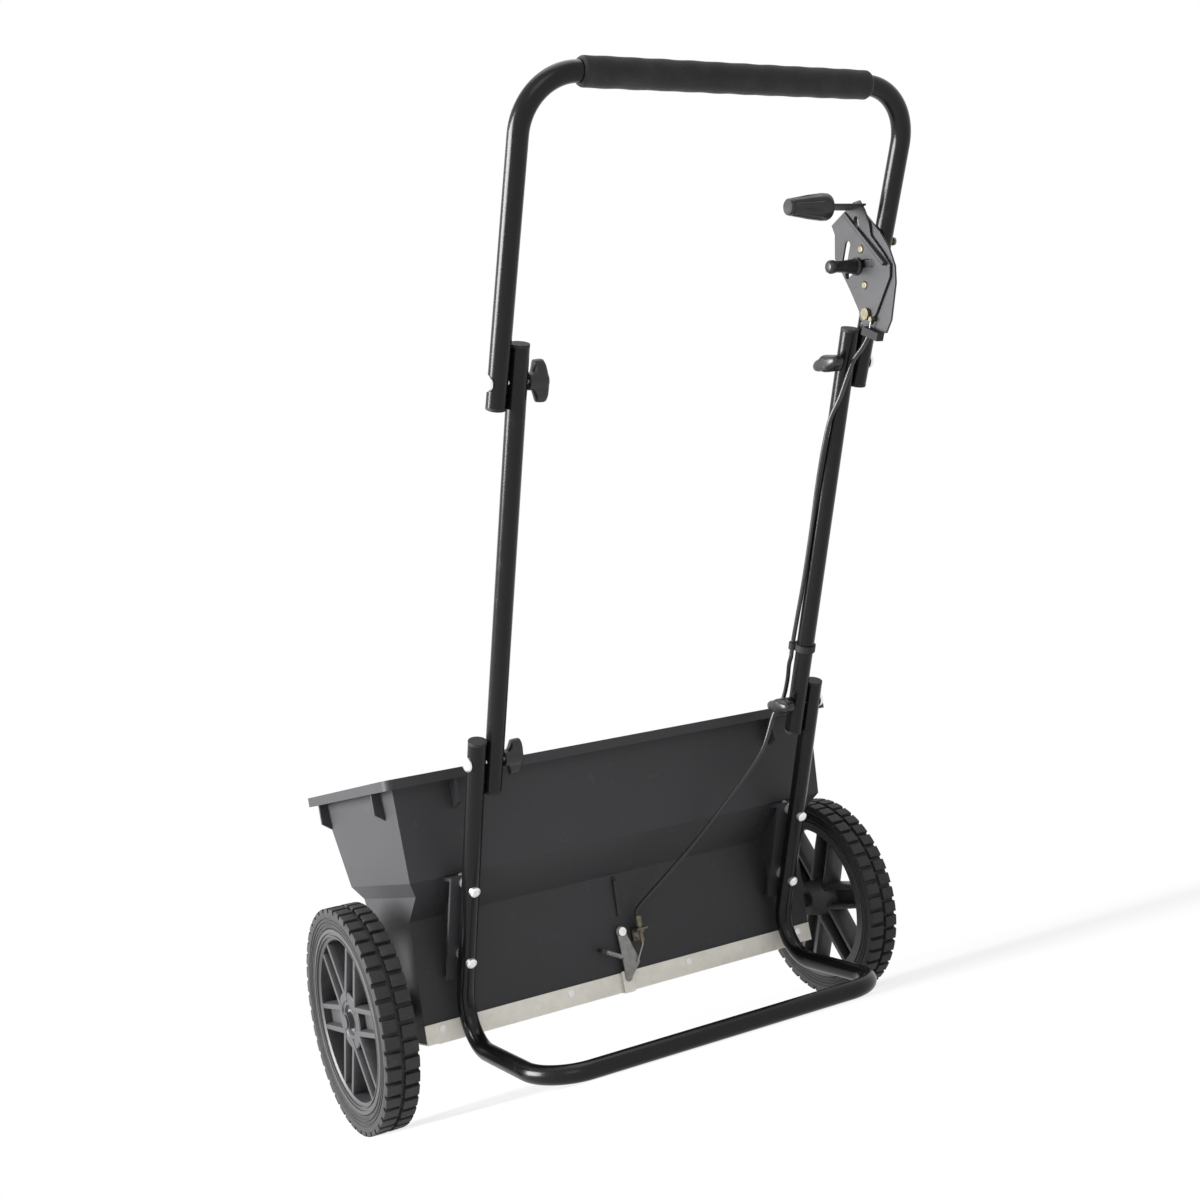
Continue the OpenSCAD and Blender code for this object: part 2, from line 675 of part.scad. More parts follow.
module wheel_body(bore) {
    rim_in = rim_seat_r - rim_t;
    out = rim_w / 2;
    web_x = wheel_x + out - 10;
    difference() {
        union() {
            // Rim with a drop in its outer face
            translate([wheel_x, 0, 0]) rotate([0, 90, 0]) rotate_extrude() polygon([
                [rim_in, -out], [rim_seat_r - 3, -out], [rim_seat_r, -out + 3], [rim_seat_r, out - 3], [rim_seat_r - 3, out],
                [rim_in + 6, out], [rim_in + 4, out - 3], [rim_in, out - 3]]);
            rod_x(hub_in_x, hub_out_x, hub_d / 2);
            for (k = [0:spokes - 1]) rotate([360 * k / spokes, 0, 0])
                side_sheet(web_x + 6 - spoke_h, spoke_h) spoke_2d(0, hub_d / 2 - 4, rim_in + 2);
        }
        // Channel in the outer face of each spoke and hollow in its inner face
        for (k = [0:spokes - 1]) rotate([360 * k / spokes, 0, 0]) {
            side_sheet(web_x, 10) spoke_2d(spoke_wall, hub_d / 2 + 3, rim_in - 5);
            side_sheet(web_x + 6 - spoke_h - 1, spoke_h - 6 - spoke_wall + 1) spoke_2d(spoke_wall, hub_d / 2 + 3, rim_in - 3);
        }
        rod_x(hub_in_x - 1, hub_out_x + 1, bore);
        rod_x(hub_out_x - 3, hub_out_x + 1, hub_d / 2 - 5);
    }
}

module wheel_left() {
    color([0.06, 0.06, 0.065]) parked() mirror([1, 0, 0]) wheel_body(axle_r + run_gap);
}

module wheel_right() {
    color([0.06, 0.06, 0.065]) parked() wheel_body(axle_r);
}

// One row of tread blocks, as a flat outline
module tread_2d(turn) {
    difference() {
        circle(wheel_r);
        circle(wheel_r - tread_depth - 3);
        for (k = [0:tread_blocks - 1]) rotate(360 * k / tread_blocks + turn)
            translate([wheel_r - tread_depth, -tread_groove / 2]) square([tread_depth + 2, tread_groove]);
    }
}

module tyre() {
    half = tyre_w / 2;
    base_r = wheel_r - tread_depth;
    row = half - tread_groove / 2;
    pitch = 360 / tread_blocks;
    translate([wheel_x, 0, 0]) {
        rotate([0, 90, 0]) rotate_extrude() polygon(concat(
            [[rim_seat_r, -rim_w / 2 + 1], [rim_seat_r, rim_w / 2 - 1]],
            side_rings(half, 1),
            [[base_r - 4, half], [base_r, half - 2], [base_r, -half + 2], [base_r - 4, -half]],
            side_rings(half, -1)));
        // Two rows of blocks, half a block out of step
        for (side = [-1, 1]) rotate([-tilt, 0, 0])
            side_sheet(side > 0 ? tread_groove / 2 : -half, row) tread_2d(side * pitch / 4 + pitch / 4);
    }
}

// Steps of the ringed side wall, from the rim outwards (dir 1) or back (dir -1)
function side_rings(half, dir) = let (
        r0 = rim_seat_r + 2, r1 = wheel_r - tread_depth - 6, step = (r1 - r0) / 6,
        ring = [for (k = [0:5]) [r0 + k * step, half - (k % 2 == 0 ? 2 : 0.6)]],
        pts = [for (k = [0:5]) for (p = [[ring[k].x, ring[k].y], [ring[k].x + step * 0.8, ring[k].y]]) p])
    dir > 0 ? pts : [for (k = [len(pts) - 1:-1:0]) [pts[k].x, -pts[k].y]];

module tyre_left() {
    color([0.03, 0.03, 0.03]) parked() mirror([1, 0, 0]) tyre();
}

module tyre_right() {
    color([0.03, 0.03, 0.03]) parked() tyre();
}

// ---- stand ----

module stand_half() {
    turn = 90 + stand_lean - foot_fall;
    cut = bend_r * tan(turn / 2);
    translate([leg_x, -bend_y, -bend_z]) {
        rotate([stand_lean, 0, 0]) {
            tube_z(cut, upright_len);
            // Lower bend, from the upright to the foot
            translate([0, 0, cut]) rotate([0, 180, 0]) rotate([0, 0, 180]) tube_bend(bend_r, turn);
        }
        // Foot leg to its corner, then half of the cross bar
        rotate([90 + foot_fall, 0, 0]) {
            tube_z(cut, foot_len - foot_r);
            translate([0, 0, foot_len - foot_r]) rotate([0, 0, 90]) tube_bend(foot_r, 90);
            translate([-foot_r, 0, foot_len]) rotate([0, -90, 0]) tube_z(0, cross_half);
        }
    }
}

module stand_frame() {
    color([0.02, 0.02, 0.02]) parked() difference() {
        both_sides() stand_half();
        both_sides() for (s = [bolt_low, bolt_high]) bolt_axis(s) cylinder(h = 2 * tube_d, r = bolt_d / 2, center = true);
        translate([0, lower_fold.x, lower_fold.y]) both_sides() rod_x(leg_x - tube_d, leg_x + tube_d, bolt_d / 2);
    }
}

// Push-in plug for the open end of a tube, at the origin, tube below
module tube_plug() {
    cylinder(h = 3, r = tube_r);
    translate([0, 0, -10]) cylinder(h = 10 + eps, r = tube_r - tube_wall);
}

module stand_plugs() {
    color([0.08, 0.08, 0.08]) stand_axes() both_sides() translate([leg_x, 0, upright_len]) tube_plug();
}

module frame_bolts() {
    color([0.8, 0.8, 0.8]) parked() both_sides() for (s = [bolt_low, bolt_high]) bolt_axis(s) {
        translate([0, 0, -bolt_reach]) cylinder(h = bolt_reach + tube_r + 1, r = bolt_d / 2);
        difference() {
            translate([0, 0, tube_r - 3]) cylinder(h = 6, r = bolt_d * 0.95);
            rotate([90, 0, 0]) cylinder(h = 40, r = tube_r, center = true);
        }
        translate([0, 0, tube_r + 3 - eps]) cylinder(h = 1.5, r1 = bolt_d * 0.95, r2 = bolt_d * 0.6);
    }
}

module frame_washers() {
    color([0.75, 0.75, 0.75]) parked() both_sides() for (s = [bolt_low, bolt_high]) bolt_axis(s) difference() {
        translate([0, 0, -tube_r - washer_t]) cylinder(h = washer_t + 3, r = 8);
        translate([0, 0, -tube_r - washer_t - 1]) cylinder(h = washer_t + 5, r = bolt_d / 2);
        rotate([90, 0, 0]) cylinder(h = 40, r = tube_r, center = true);
    }
}

// ---- handle ----

module middle_tube(hole) {
    translate([middle_x, 0, 0]) difference() {
        tube_z(-middle_end, middle_len + middle_end);
        for (z = [0, middle_len]) translate([0, 0, z]) rod_x(-tube_d, tube_d, hole);
    }
}

module middle_tube_left() {
    color([0.02, 0.02, 0.02]) middle_axes() mirror([1, 0, 0]) middle_tube(bolt_d / 2 + run_gap);
}

module middle_tube_right() {
    color([0.02, 0.02, 0.02]) middle_axes() middle_tube(bolt_d / 2 + run_gap);
}

module middle_plugs() {
    color([0.08, 0.08, 0.08]) middle_axes() both_sides() translate([middle_x, 0, 0]) {
        translate([0, 0, middle_len + middle_end]) tube_plug();
        translate([0, 0, -middle_end]) mirror([0, 0, 1]) tube_plug();
    }
}

module handle_half() {
    translate([leg_x, 0, 0]) {
        tube_z(-leg_end, handle_len - handle_r);
        translate([0, 0, handle_len - handle_r]) rotate([0, 0, 90]) tube_bend(handle_r, 90);
        translate([-handle_r, 0, handle_len]) rotate([0, -90, 0]) tube_z(0, leg_x - handle_r);
    }
}

module upper_handle() {
    color([0.02, 0.02, 0.02]) handle_axes() difference() {
        both_sides() handle_half();
        both_sides() rod_x(leg_x - tube_d, leg_x + tube_d, bolt_d / 2);
        for (s = plate_bolt_s) translate([0, 0, s]) rod_x(leg_x - tube_d, leg_x + tube_d, plate_bolt_r);
    }
}

module handle_plugs() {
    color([0.08, 0.08, 0.08]) handle_axes() both_sides() translate([leg_x, 0, -leg_end]) mirror([0, 0, 1]) tube_plug();
}

module foam_grip() {
    color([0.05, 0.05, 0.055]) handle_axes() translate([0, 0, handle_len]) difference() {
        union() {
            rod_x(-grip_len / 2 + 2, grip_len / 2 - 2, grip_d / 2);
            rod_x(-grip_len / 2, grip_len / 2, grip_d / 2 - 1.5);
        }
        rod_x(-grip_len / 2 - 1, grip_len / 2 + 1, tube_r);
    }
}

// ---- knobs and their bolts ----

knob_x = middle_x - tube_r - side_gap;
bolt_in_x = knob_x - 0.7 * knob_len;

// Cup-head bolt through both tubes, head outboard, seated round the leg, which runs along Z
module knob_bolt() {
    rod_x(bolt_in_x, leg_x + tube_r + 1, bolt_d / 2);
    difference() {
        rod_x(leg_x + tube_r - 4, leg_x + tube_r + 2.4, 8);
        translate([leg_x, 0, 0]) cylinder(h = 40, r = tube_r, center = true);
    }
    rod_x(leg_x + tube_r + 2, leg_x + tube_r + 3.6, 5.5);
}

module lower_knob_bolts() {
    color([0.75, 0.75, 0.75]) parked() translate([0, lower_fold.x, lower_fold.y]) rotate([stand_lean, 0, 0])
        both_sides() knob_bolt();
}

module upper_knob_bolts() {
    color([0.75, 0.75, 0.75]) handle_axes() both_sides() knob_bolt();
}

// Wing knob: a hub with two rounded wings
module wing_knob() {
    wing_len = 0.62 * knob_len;
    wing_c = knob_x - knob_len + wing_len / 2 + 3;
    tip_r = knob_span / 2 - knob_hub / 2 - 3;
    difference() {
        union() {
            rod_x(knob_x - knob_len, knob_x, knob_hub / 2);
            translate([wing_c, knob_t / 2, 0]) rotate([90, 0, 0]) linear_extrude(knob_t) {
                translate([-wing_len / 2, -knob_span / 2 + tip_r]) square([wing_len, knob_span - 2 * tip_r]);
                translate([-wing_len / 2 + tip_r, -knob_span / 2]) square([wing_len - 2 * tip_r, knob_span]);
                for (z = [-1, 1], x = [-1, 1])
                    translate([x * (wing_len / 2 - tip_r), z * (knob_span / 2 - tip_r)]) circle(tip_r);
            }
        }
        rod_x(bolt_in_x - 0.5, knob_x + 1, bolt_d / 2 + run_gap);
    }
}

module lower_knob_left() {
    color([0.05, 0.05, 0.05]) parked() translate([0, lower_fold.x, lower_fold.y]) mirror([1, 0, 0])
        rotate([stand_lean, 0, 0]) wing_knob();
}

module lower_knob_right() {
    color([0.05, 0.05, 0.05]) parked() translate([0, lower_fold.x, lower_fold.y]) rotate([stand_lean + 70, 0, 0]) wing_knob();
}

module upper_knob_left() {
    color([0.05, 0.05, 0.05]) handle_axes() mirror([1, 0, 0]) rotate([-20, 0, 0]) wing_knob();
}

module upper_knob_right() {
    color([0.05, 0.05, 0.05]) handle_axes() rotate([80, 0, 0]) wing_knob();
}

// ---- flow control on the right leg of the handle ----

plate_bolt_s = [46, 129];
plate_bolt_r = 2.5;

// Point at radius r and angle a round the lever pivot: a is measured from the leg towards the front
function pivot_pt(r, a) = [-pivot_t + r * sin(a), pivot_s + r * cos(a)];

// Arc slot round the lever pivot, from angle a0 to a1
module arc_slot(a0, a1) {
    n = 12;
    r0 = slot_r - slot_w / 2;
    r1 = slot_r + slot_w / 2;
    polygon(concat([for (k = [0:n]) pivot_pt(r1, a0 + k * (a1 - a0) / n)],
        [for (k = [n:-1:0]) pivot_pt(r0, a0 + k * (a1 - a0) / n)]));
    for (a = [a0, a1]) translate(pivot_pt(slot_r, a)) circle(slot_w / 2);
}

module control_plate() {
    outline = [[-32, 41], [-8, 40.5], [2, 42], [7, 58], [22, 67], [47, 82], [62, 96], [70, 122], [62, 138],
        [14, 140], [-9, 138], [-14, 118], [-28, 104], [-44, 74], [-46, 52]];
    color([0.25, 0.25, 0.26]) handle_axes() difference() {
        side_sheet(plate_x - plate_t, plate_t) difference() {
            polygon(outline);
            arc_slot(stop_angle, stop_angle + stop_travel);
            translate([-pivot_t, pivot_s]) circle(4);
            for (s = plate_bolt_s) translate([0, s]) circle(plate_bolt_r);
            translate([-26, 57]) circle(2.5);
        }
    }
}

module control_bolts() {
    color([0.7, 0.6, 0.35]) handle_axes() for (s = plate_bolt_s) translate([0, 0, s]) {
        rod_x(plate_x - plate_t - 1, leg_x + tube_r + 5, plate_bolt_r);
        rod_x(plate_x - plate_t - 1.6, plate_x - plate_t, 4.4);
        difference() {
            rod_x(leg_x + tube_r - 2, leg_x + tube_r + 4, 4.5);
            translate([leg_x, 0, 0]) cylinder(h = 20, r = tube_r, center = true);
        }
    }
}

// Block at the foot of the plate that holds the end of the cable casing
module cable_clamp() {
    color([0.06, 0.06, 0.06]) handle_axes() difference() {
        translate([lever_x - plate_t - 6, -44, clamp_s]) cube([plate_x - lever_x + 6, 26, clamp_h]);
        translate([wire_x, wire_t, clamp_s - 1]) cylinder(h = clamp_h + 2, r = casing_r);
    }
}

// Lever: hub, wide slotted blade and arm, with a tab bent in to carry the grip
module control_lever() {
    top = pivot_pt(arm_len, arm_angle);
    color([0.32, 0.32, 0.33]) handle_axes() difference() {
        union() {
            side_sheet(lever_x - plate_t, plate_t) difference() {
                union() {
                    translate([-pivot_t, pivot_s]) circle(12);
                    polygon([pivot_pt(10, -70), pivot_pt(61, stop_angle - swing - 10), pivot_pt(67, arm_angle - 8),
                        pivot_pt(arm_len - 8, arm_angle - 6.5), pivot_pt(arm_len, arm_angle - 6.5),
                        pivot_pt(arm_len, arm_angle + 6.5), pivot_pt(arm_len - 10, arm_angle + 9),
                        pivot_pt(72, arm_angle + 16), pivot_pt(62, stop_angle + stop_travel + 6), pivot_pt(10, 95)]);
                    translate(pivot_pt(cable_arm, -90 - swing / 2)) circle(5);
                }
                arc_slot(stop_angle - swing, stop_angle + stop_travel);
                translate(pivot_pt(84, arm_angle + 3)) circle(4);
                translate([-pivot_t, pivot_s]) circle(4 + run_gap);
                translate(pivot_pt(cable_arm, -90 - swing / 2)) circle(1.6);
            }
            // Tab, square to the blade
            translate([lever_x - tab_len, top.x, top.y]) rotate([-arm_angle, 0, 0]) translate([0, -13, -1.5])
                cube([tab_len, 26, plate_t]);
        }
    }
}

module lever_grip() {
    top = pivot_pt(arm_len, arm_angle);
    grip_taper = atan2((lever_grip_d - lever_tip_d) / 2 - 1, lever_grip_len - 17);
    x1 = lever_x - tab_len + 6;
    color([0.03, 0.03, 0.03]) handle_axes() translate([x1 - lever_grip_len, top.x, top.y]) rotate([-arm_angle, 0, 0])
        difference() {
            union() {
                rotate([0, 90, 0]) cylinder(h = 5, r = lever_tip_d / 2);
                translate([5, 0, 0]) rotate([0, 90, 0])
                    cylinder(h = lever_grip_len - 17, r1 = lever_tip_d / 2 + 1, r2 = lever_grip_d / 2);
                translate([lever_grip_len - 12, 0, 0]) rotate([0, 90, 0])
                    cylinder(h = 12, r1 = lever_grip_d / 2, r2 = lever_grip_d / 2 - 0.4);
            }
            translate([lever_grip_len - 6, -13, -1.5]) cube([7, 26, plate_t]);
            // Long grooves, sloped with the taper
            for (k = [0:7]) rotate([45 * k + 22.5, 0, 0]) translate([7, 0, lever_tip_d / 2 - 0.3])
                rotate([0, -grip_taper, 0]) translate([0, -1.6, 0]) cube([lever_grip_len - 21, 3.2, 6]);
            translate([-1, 0, 0]) rotate([0, 90, 0]) cylinder(h = 4, r = lever_tip_d / 2 - 3);
        }
}

module lever_pivot() {
    color([0.72, 0.62, 0.35]) handle_axes() translate([0, -pivot_t, pivot_s]) {
        rod_x(lever_x - plate_t - 0.5, plate_x + 1, 4);
        rod_x(lever_x - plate_t - 4, lever_x - plate_t - side_gap, 6);
        rod_x(plate_x, plate_x + 3.5, 6);
    }
}

module wire_nipple() {
    p = pivot_pt(cable_arm, -90 - swing / 2);
    color([0.7, 0.6, 0.35]) handle_axes() translate([0, p.x, p.y]) {
        rod_x(wire_x - 2, lever_x, 1.6);
        rod_x(wire_x - 2, lever_x - plate_t, 2.6);
    }
}

module stop_bolt() {
    p = pivot_pt(slot_r, stop_angle);
    color([0.7, 0.6, 0.35]) handle_axes() translate([0, p.x, p.y]) {
        rod_x(lever_x - plate_t - 0.8 * stop_len, plate_x + side_gap, slot_w / 2 - 0.4);
        rod_x(plate_x + side_gap, plate_x + side_gap + 3, 6.5);
    }
}

module stop_knob() {
    p = pivot_pt(slot_r, stop_angle);
    x1 = lever_x - plate_t - side_gap;
    color([0.04, 0.04, 0.04]) handle_axes() translate([0, p.x, p.y]) difference() {
        union() {
            rod_x(x1 - 0.4 * stop_len, x1, stop_d / 2);
            rod_x(x1 - stop_len, x1, stop_d / 2 - 1.5);
            rod_x(x1 - stop_len, x1 - 0.85 * stop_len, stop_d / 2);
        }
        rod_x(x1 - 0.8 * stop_len, x1 + 1, slot_w / 2 - 0.4);
    }
}

// ---- cable ----

module lever_wire() {
    p = pivot_pt(cable_arm, -90 - swing / 2);
    color([0.6, 0.6, 0.6]) handle_axes() translate([wire_x, 0, 0])
        translate([0, p.x, clamp_s + clamp_h - 0.7]) cylinder(h = p.y - 2.8 - clamp_s - clamp_h + 0.7, r = wire_d / 2);
}

module cable_upper() {
    color([0.03, 0.03, 0.03]) handle_axes() swept(spline(upper_route, 4), casing_r, 8, [0, 1, 0.3]);
}

module cable_middle() {
    color([0.03, 0.03, 0.03]) middle_axes() swept(spline(middle_route, 3), casing_r, 8, [0, 1, 0.3]);
}

module cable_lower() {
    color([0.03, 0.03, 0.03]) parked() swept(spline(lower_route, 3), casing_r, 8, [0, 1, 0.3]);
}

// Clip on the right middle tube that leads the cable past the knob
module cable_clip() {
    color([0.05, 0.05, 0.05]) middle_axes() translate([0, 0, 68]) difference() {
        union() {
            translate([middle_x, 0, 0]) cylinder(h = 8, r = tube_r + 2);
            translate([183.7, 7.9, 0]) cylinder(h = 8, r = casing_r + 2);
        }
        translate([middle_x, 0, -1]) cylinder(h = 11, r = tube_r);
        translate([183.7, 7.9, -1]) cylinder(h = 11, r = casing_r + 0.6);
    }
}

// Angle bracket on the rear wall, with the ear that holds the cable adjuster
module cable_bracket() {
    color([0.62, 0.56, 0.25]) parked() difference() {
        union() {
            translate([adjuster_x - ear_w / 2, adjuster_y - 7, adjuster_z]) cube([ear_w, -pad_y - adjuster_y + 7, 2]);
            translate([adjuster_x - ear_w / 2, -pad_y - 2, adjuster_z - pad_h + 2]) cube([ear_w, 2, pad_h]);
        }
        translate([adjuster_x, adjuster_y, adjuster_z - 1]) cylinder(h = 5, r = 3);
        translate([adjuster_x, -pad_y - 3, adjuster_z - 6]) rotate([-90, 0, 0]) cylinder(h = 6, r = 2);
    }
}

module bracket_screws() {
    color([0.75, 0.75, 0.75]) parked() translate([adjuster_x, -pad_y - 2, adjuster_z - 6]) rotate([-90, 0, 0]) {
        translate([0, 0, -2.5]) cylinder(h = 2.5, r = 4);
        cylinder(h = 5, r = 2);
    }
}

module cable_adjuster() {
    color([0.78, 0.66, 0.3]) parked() translate([adjuster_x, adjuster_y, adjuster_z - adjuster_len / 2 + 2]) difference() {
        union() {
            cylinder(h = adjuster_len - 6, r = 3);
            translate([0, 0, adjuster_len - 14]) cylinder(h = 12, r = 4.2);
        }
        translate([0, 0, -1]) cylinder(h = adjuster_len, r = 1.5);
        translate([0, 0, adjuster_len - 8]) cylinder(h = 8, r = casing_r + casing_play);
    }
}

module adjuster_nut() {
    color([0.7, 0.6, 0.3]) parked() translate([adjuster_x, adjuster_y, adjuster_z - 3.6]) difference() {
        cylinder(h = 3.6, r = 5, $fn = 6);
        translate([0, 0, -1]) cylinder(h = 6, r = 3);
    }
}

// Crank that turns the pull of the cable into the slide of the shutter
module crank_lever() {
    color([0.7, 0.7, 0.7]) parked() translate([-crank_x, crank_y, crank_z]) {
        difference() {
            rotate([90, 0, 0]) translate([0, 0, -crank_t / 2]) linear_extrude(crank_t) difference() {
                union() {
                    circle(6);
                    polygon([[-5, 0], [5, 0], [wire_hole.x + 3, wire_hole.y + 3], [wire_hole.x + 2, wire_hole.y - 3],
                        [4, -crank_len], [-4, -crank_len]]);
                    translate([0, -crank_len]) circle(4);
                    translate(wire_hole) circle(3.5);
                }
                circle(2.5 + run_gap);
                translate(wire_hole) circle(1.2);
                translate(spring_hole) circle(1.2);
            }
        }
        // Pin that stands in the shutter's slot
        translate([0, crank_t / 2, -crank_len]) rotate([-90, 0, 0]) cylinder(h = 3.2 + sheet, r = 2);
    }
}

module crank_pivot() {
    color([0.75, 0.75, 0.75]) parked() translate([-crank_x, crank_y - crank_t / 2 - side_gap, crank_z]) rotate([-90, 0, 0]) {
        translate([0, 0, -4]) cylinder(h = 4, r = 5);
        cylinder(h = -crank_y - pan_half + crank_t / 2 + side_gap, r = 2.5);
    }
}

module shutter_wire() {
    z1 = adjuster_z - adjuster_len / 2 + 2;
    a = [-crank_x + wire_hole.x, crank_y - 2.6, crank_z + wire_hole.y];
    b = [adjuster_x, adjuster_y, z1];
    color([0.7, 0.7, 0.7]) parked()
        swept([[a.x, crank_y + crank_t / 2 + 0.6, a.z], a, a + [1.4, -0.6, 3], b - [0, 0, 3], b + [0, 0, 6]],
            wire_d / 2, 8, [1, 0.3, -0.5]);
}

// Coil spring from a hole of the crank to a peg on the rear wall, with a straight tail at each end
module return_spring() {
    a = [-crank_x + spring_hole.x, spring_y, crank_z + spring_hole.y];
    b = [-spring_peg.x, spring_y, spring_peg.y];
    axis = unit(b - a);
    side = [0, 1, 0];
    up = cross(axis, side);
    r = (spring_d - 1) / 2;
    n = 10 * spring_coils;
    long = norm(b - a);
    coils = [for (k = [0:n]) a + axis * long * (0.16 + 0.68 * k / n) + r * (cos(36 * k) * side + sin(36 * k) * up)];
    color([0.75, 0.75, 0.75]) parked()
        swept(concat([a + (crank_y + crank_t / 2 + 0.6 - a.y) * side, a + r * side], coils, [b - 2 * axis + r * side]),
            0.5, 6, axis + 0.6 * up);
}

hopper();
outlet_pan();
pan_screws();
shutter_plate();
shutter_rivets();
axle();
agitator();
axle_bush_left();
axle_bush_right();
axle_spacers();
axle_washers();
hub_cap_left();
hub_cap_right();
wheel_left();
wheel_right();
tyre_left();
tyre_right();
stand_frame();
stand_plugs();
frame_bolts();
frame_washers();
middle_tube_left();
middle_tube_right();
middle_plugs();
upper_handle();
handle_plugs();
foam_grip();
lower_knob_bolts();
upper_knob_bolts();
lower_knob_left();
lower_knob_right();
upper_knob_left();
upper_knob_right();
control_plate();
control_bolts();
cable_clamp();
control_lever();
lever_grip();
lever_pivot();
wire_nipple();
stop_bolt();
stop_knob();
lever_wire();
cable_upper();
cable_middle();
cable_lower();
cable_clip();
cable_bracket();
bracket_screws();
cable_adjuster();
adjuster_nut();
crank_lever();
crank_pivot();
shutter_wire();
return_spring();
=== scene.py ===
import json
import math

import bpy
import numpy as np
from mathutils import Matrix, Vector


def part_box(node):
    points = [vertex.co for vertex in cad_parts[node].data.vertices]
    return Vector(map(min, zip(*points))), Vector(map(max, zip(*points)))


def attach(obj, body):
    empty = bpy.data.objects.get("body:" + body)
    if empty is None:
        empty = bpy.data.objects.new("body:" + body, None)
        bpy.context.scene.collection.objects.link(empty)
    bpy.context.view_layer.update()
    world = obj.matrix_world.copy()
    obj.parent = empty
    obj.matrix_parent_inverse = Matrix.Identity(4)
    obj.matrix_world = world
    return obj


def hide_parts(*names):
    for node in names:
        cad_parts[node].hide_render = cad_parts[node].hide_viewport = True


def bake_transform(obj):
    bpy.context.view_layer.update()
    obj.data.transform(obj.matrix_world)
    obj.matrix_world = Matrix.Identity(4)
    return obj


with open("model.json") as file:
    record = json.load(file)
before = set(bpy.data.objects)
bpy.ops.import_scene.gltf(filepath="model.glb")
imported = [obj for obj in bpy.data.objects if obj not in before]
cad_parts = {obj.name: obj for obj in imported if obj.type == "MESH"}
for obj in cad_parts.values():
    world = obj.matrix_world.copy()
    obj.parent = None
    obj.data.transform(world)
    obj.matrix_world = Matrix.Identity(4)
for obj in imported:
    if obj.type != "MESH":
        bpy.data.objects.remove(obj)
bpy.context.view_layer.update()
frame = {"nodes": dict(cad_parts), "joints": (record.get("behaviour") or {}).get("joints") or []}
nodes = frame["nodes"]
scene = bpy.context.scene

# ---- View and light ----
# The parked machine leans back a few degrees, so the view is written in the hopper's own level frame and
# turned with it. Soft light from the left, a white sweep that keeps the shadow.

joints = {j["name"]: j for j in frame["joints"]}
crank_axis = joints["crank_swing"]["axis"]
tilt = math.atan2(crank_axis[2], crank_axis[1]) + math.pi
axle_centre = np.array(joints["axle_spin"]["pos_m"])


def turned(origin, angle, points):
    """Points (x, y, z) turned by an angle about X, then moved to the origin given."""
    p = np.asarray(points, float)
    c, s = math.cos(angle), math.sin(angle)
    return np.stack([p[..., 0], c * p[..., 1] - s * p[..., 2], s * p[..., 1] + c * p[..., 2]], -1) + origin


no_place = np.zeros(3)
right_up_back = turned(no_place, tilt, [
    (0.8700, -0.4548, -0.1902), (0.1202, -0.1786, 0.9766), (-0.4782, -0.8725, -0.1007)])
camera_place = turned(axle_centre, tilt, (-0.85345, -1.70019, 0.22842))
pose = Matrix(np.column_stack([right_up_back.T, camera_place]).tolist())
pose.resize_4x4()
camera = bpy.data.objects.new("camera", bpy.data.cameras.new("camera"))
camera.matrix_world = pose
camera.data.sensor_width = 36
camera.data.lens = 46.47
camera.data.clip_end = 60
scene.collection.objects.link(camera)
scene.camera = camera
scene.view_settings.view_transform = "Standard"


class Wire:
    """An output socket in a node tree. Arithmetic on it adds Math nodes to the tree."""

    def __init__(self, tree, socket=None):
        self.tree, self.socket = tree, socket

    def add(self, kind, settings=(), inputs=(), out=0):
        """Adds a node: its settings first, a ramp's stops among them, then its inputs by name or number."""
        n = self.tree.nodes.new("ShaderNode" + kind)
        for key, value in dict(settings).items():
            if key == "stops":
                while len(n.color_ramp.elements) < len(value):
                    n.color_ramp.elements.new(0.5)
                for stop, (at, tone) in zip(n.color_ramp.elements, value):
                    stop.position = at
                    stop.color = (tone, tone, tone, 1)
            else:
                setattr(n, key, value)
        for key, value in dict(inputs).items():
            if isinstance(value, Wire):
                self.tree.links.new(value.socket, n.inputs[key])
            else:
                n.inputs[key].default_value = value
        return Wire(self.tree, n.outputs[out]) if n.outputs else None

    def maths(self, operation, a, b=0.0):
        return self.add("Math", {"operation": operation}, {0: a, 1: b})

    def __add__(self, other):
        return self.maths("ADD", self, other)

    def __sub__(self, other):
        return self.maths("SUBTRACT", self, other)

    def __rsub__(self, other):
        return self.maths("SUBTRACT", other, self)

    def __mul__(self, other):
        return self.maths("MULTIPLY", self, other)

    __radd__, __rmul__ = __add__, __mul__


def tree_of(holder):
    """The emptied node tree of a material or a world, as a Wire to add nodes with."""
    holder.use_nodes = True
    holder.node_tree.nodes.clear()
    return Wire(holder.node_tree)


def white_for_rays(w):
    """1 where a ray comes from the camera, a mirror or glass, 0 for the light that falls on surfaces."""
    path = w.tree.nodes.new("ShaderNodeLightPath")
    camera_ray, mirror_ray, glass_ray = (
        Wire(w.tree, path.outputs[f"Is {kind} Ray"]) for kind in ("Camera", "Glossy", "Transmission"))
    return w.maths("MINIMUM", camera_ray + mirror_ray + glass_ray, 1.0)


scene.world = bpy.data.worlds.new("studio")
w = tree_of(scene.world)
soft = w.add("Background", {}, {"Color": (0.29, 0.295, 0.30, 1), "Strength": 1.0})
plain = w.add("Background", {}, {"Color": (1, 1, 1, 1), "Strength": 1.0})
sky = w.add("MixShader", {}, {0: white_for_rays(w), 1: soft, 2: plain})
w.add("OutputWorld", {}, {"Surface": sky})

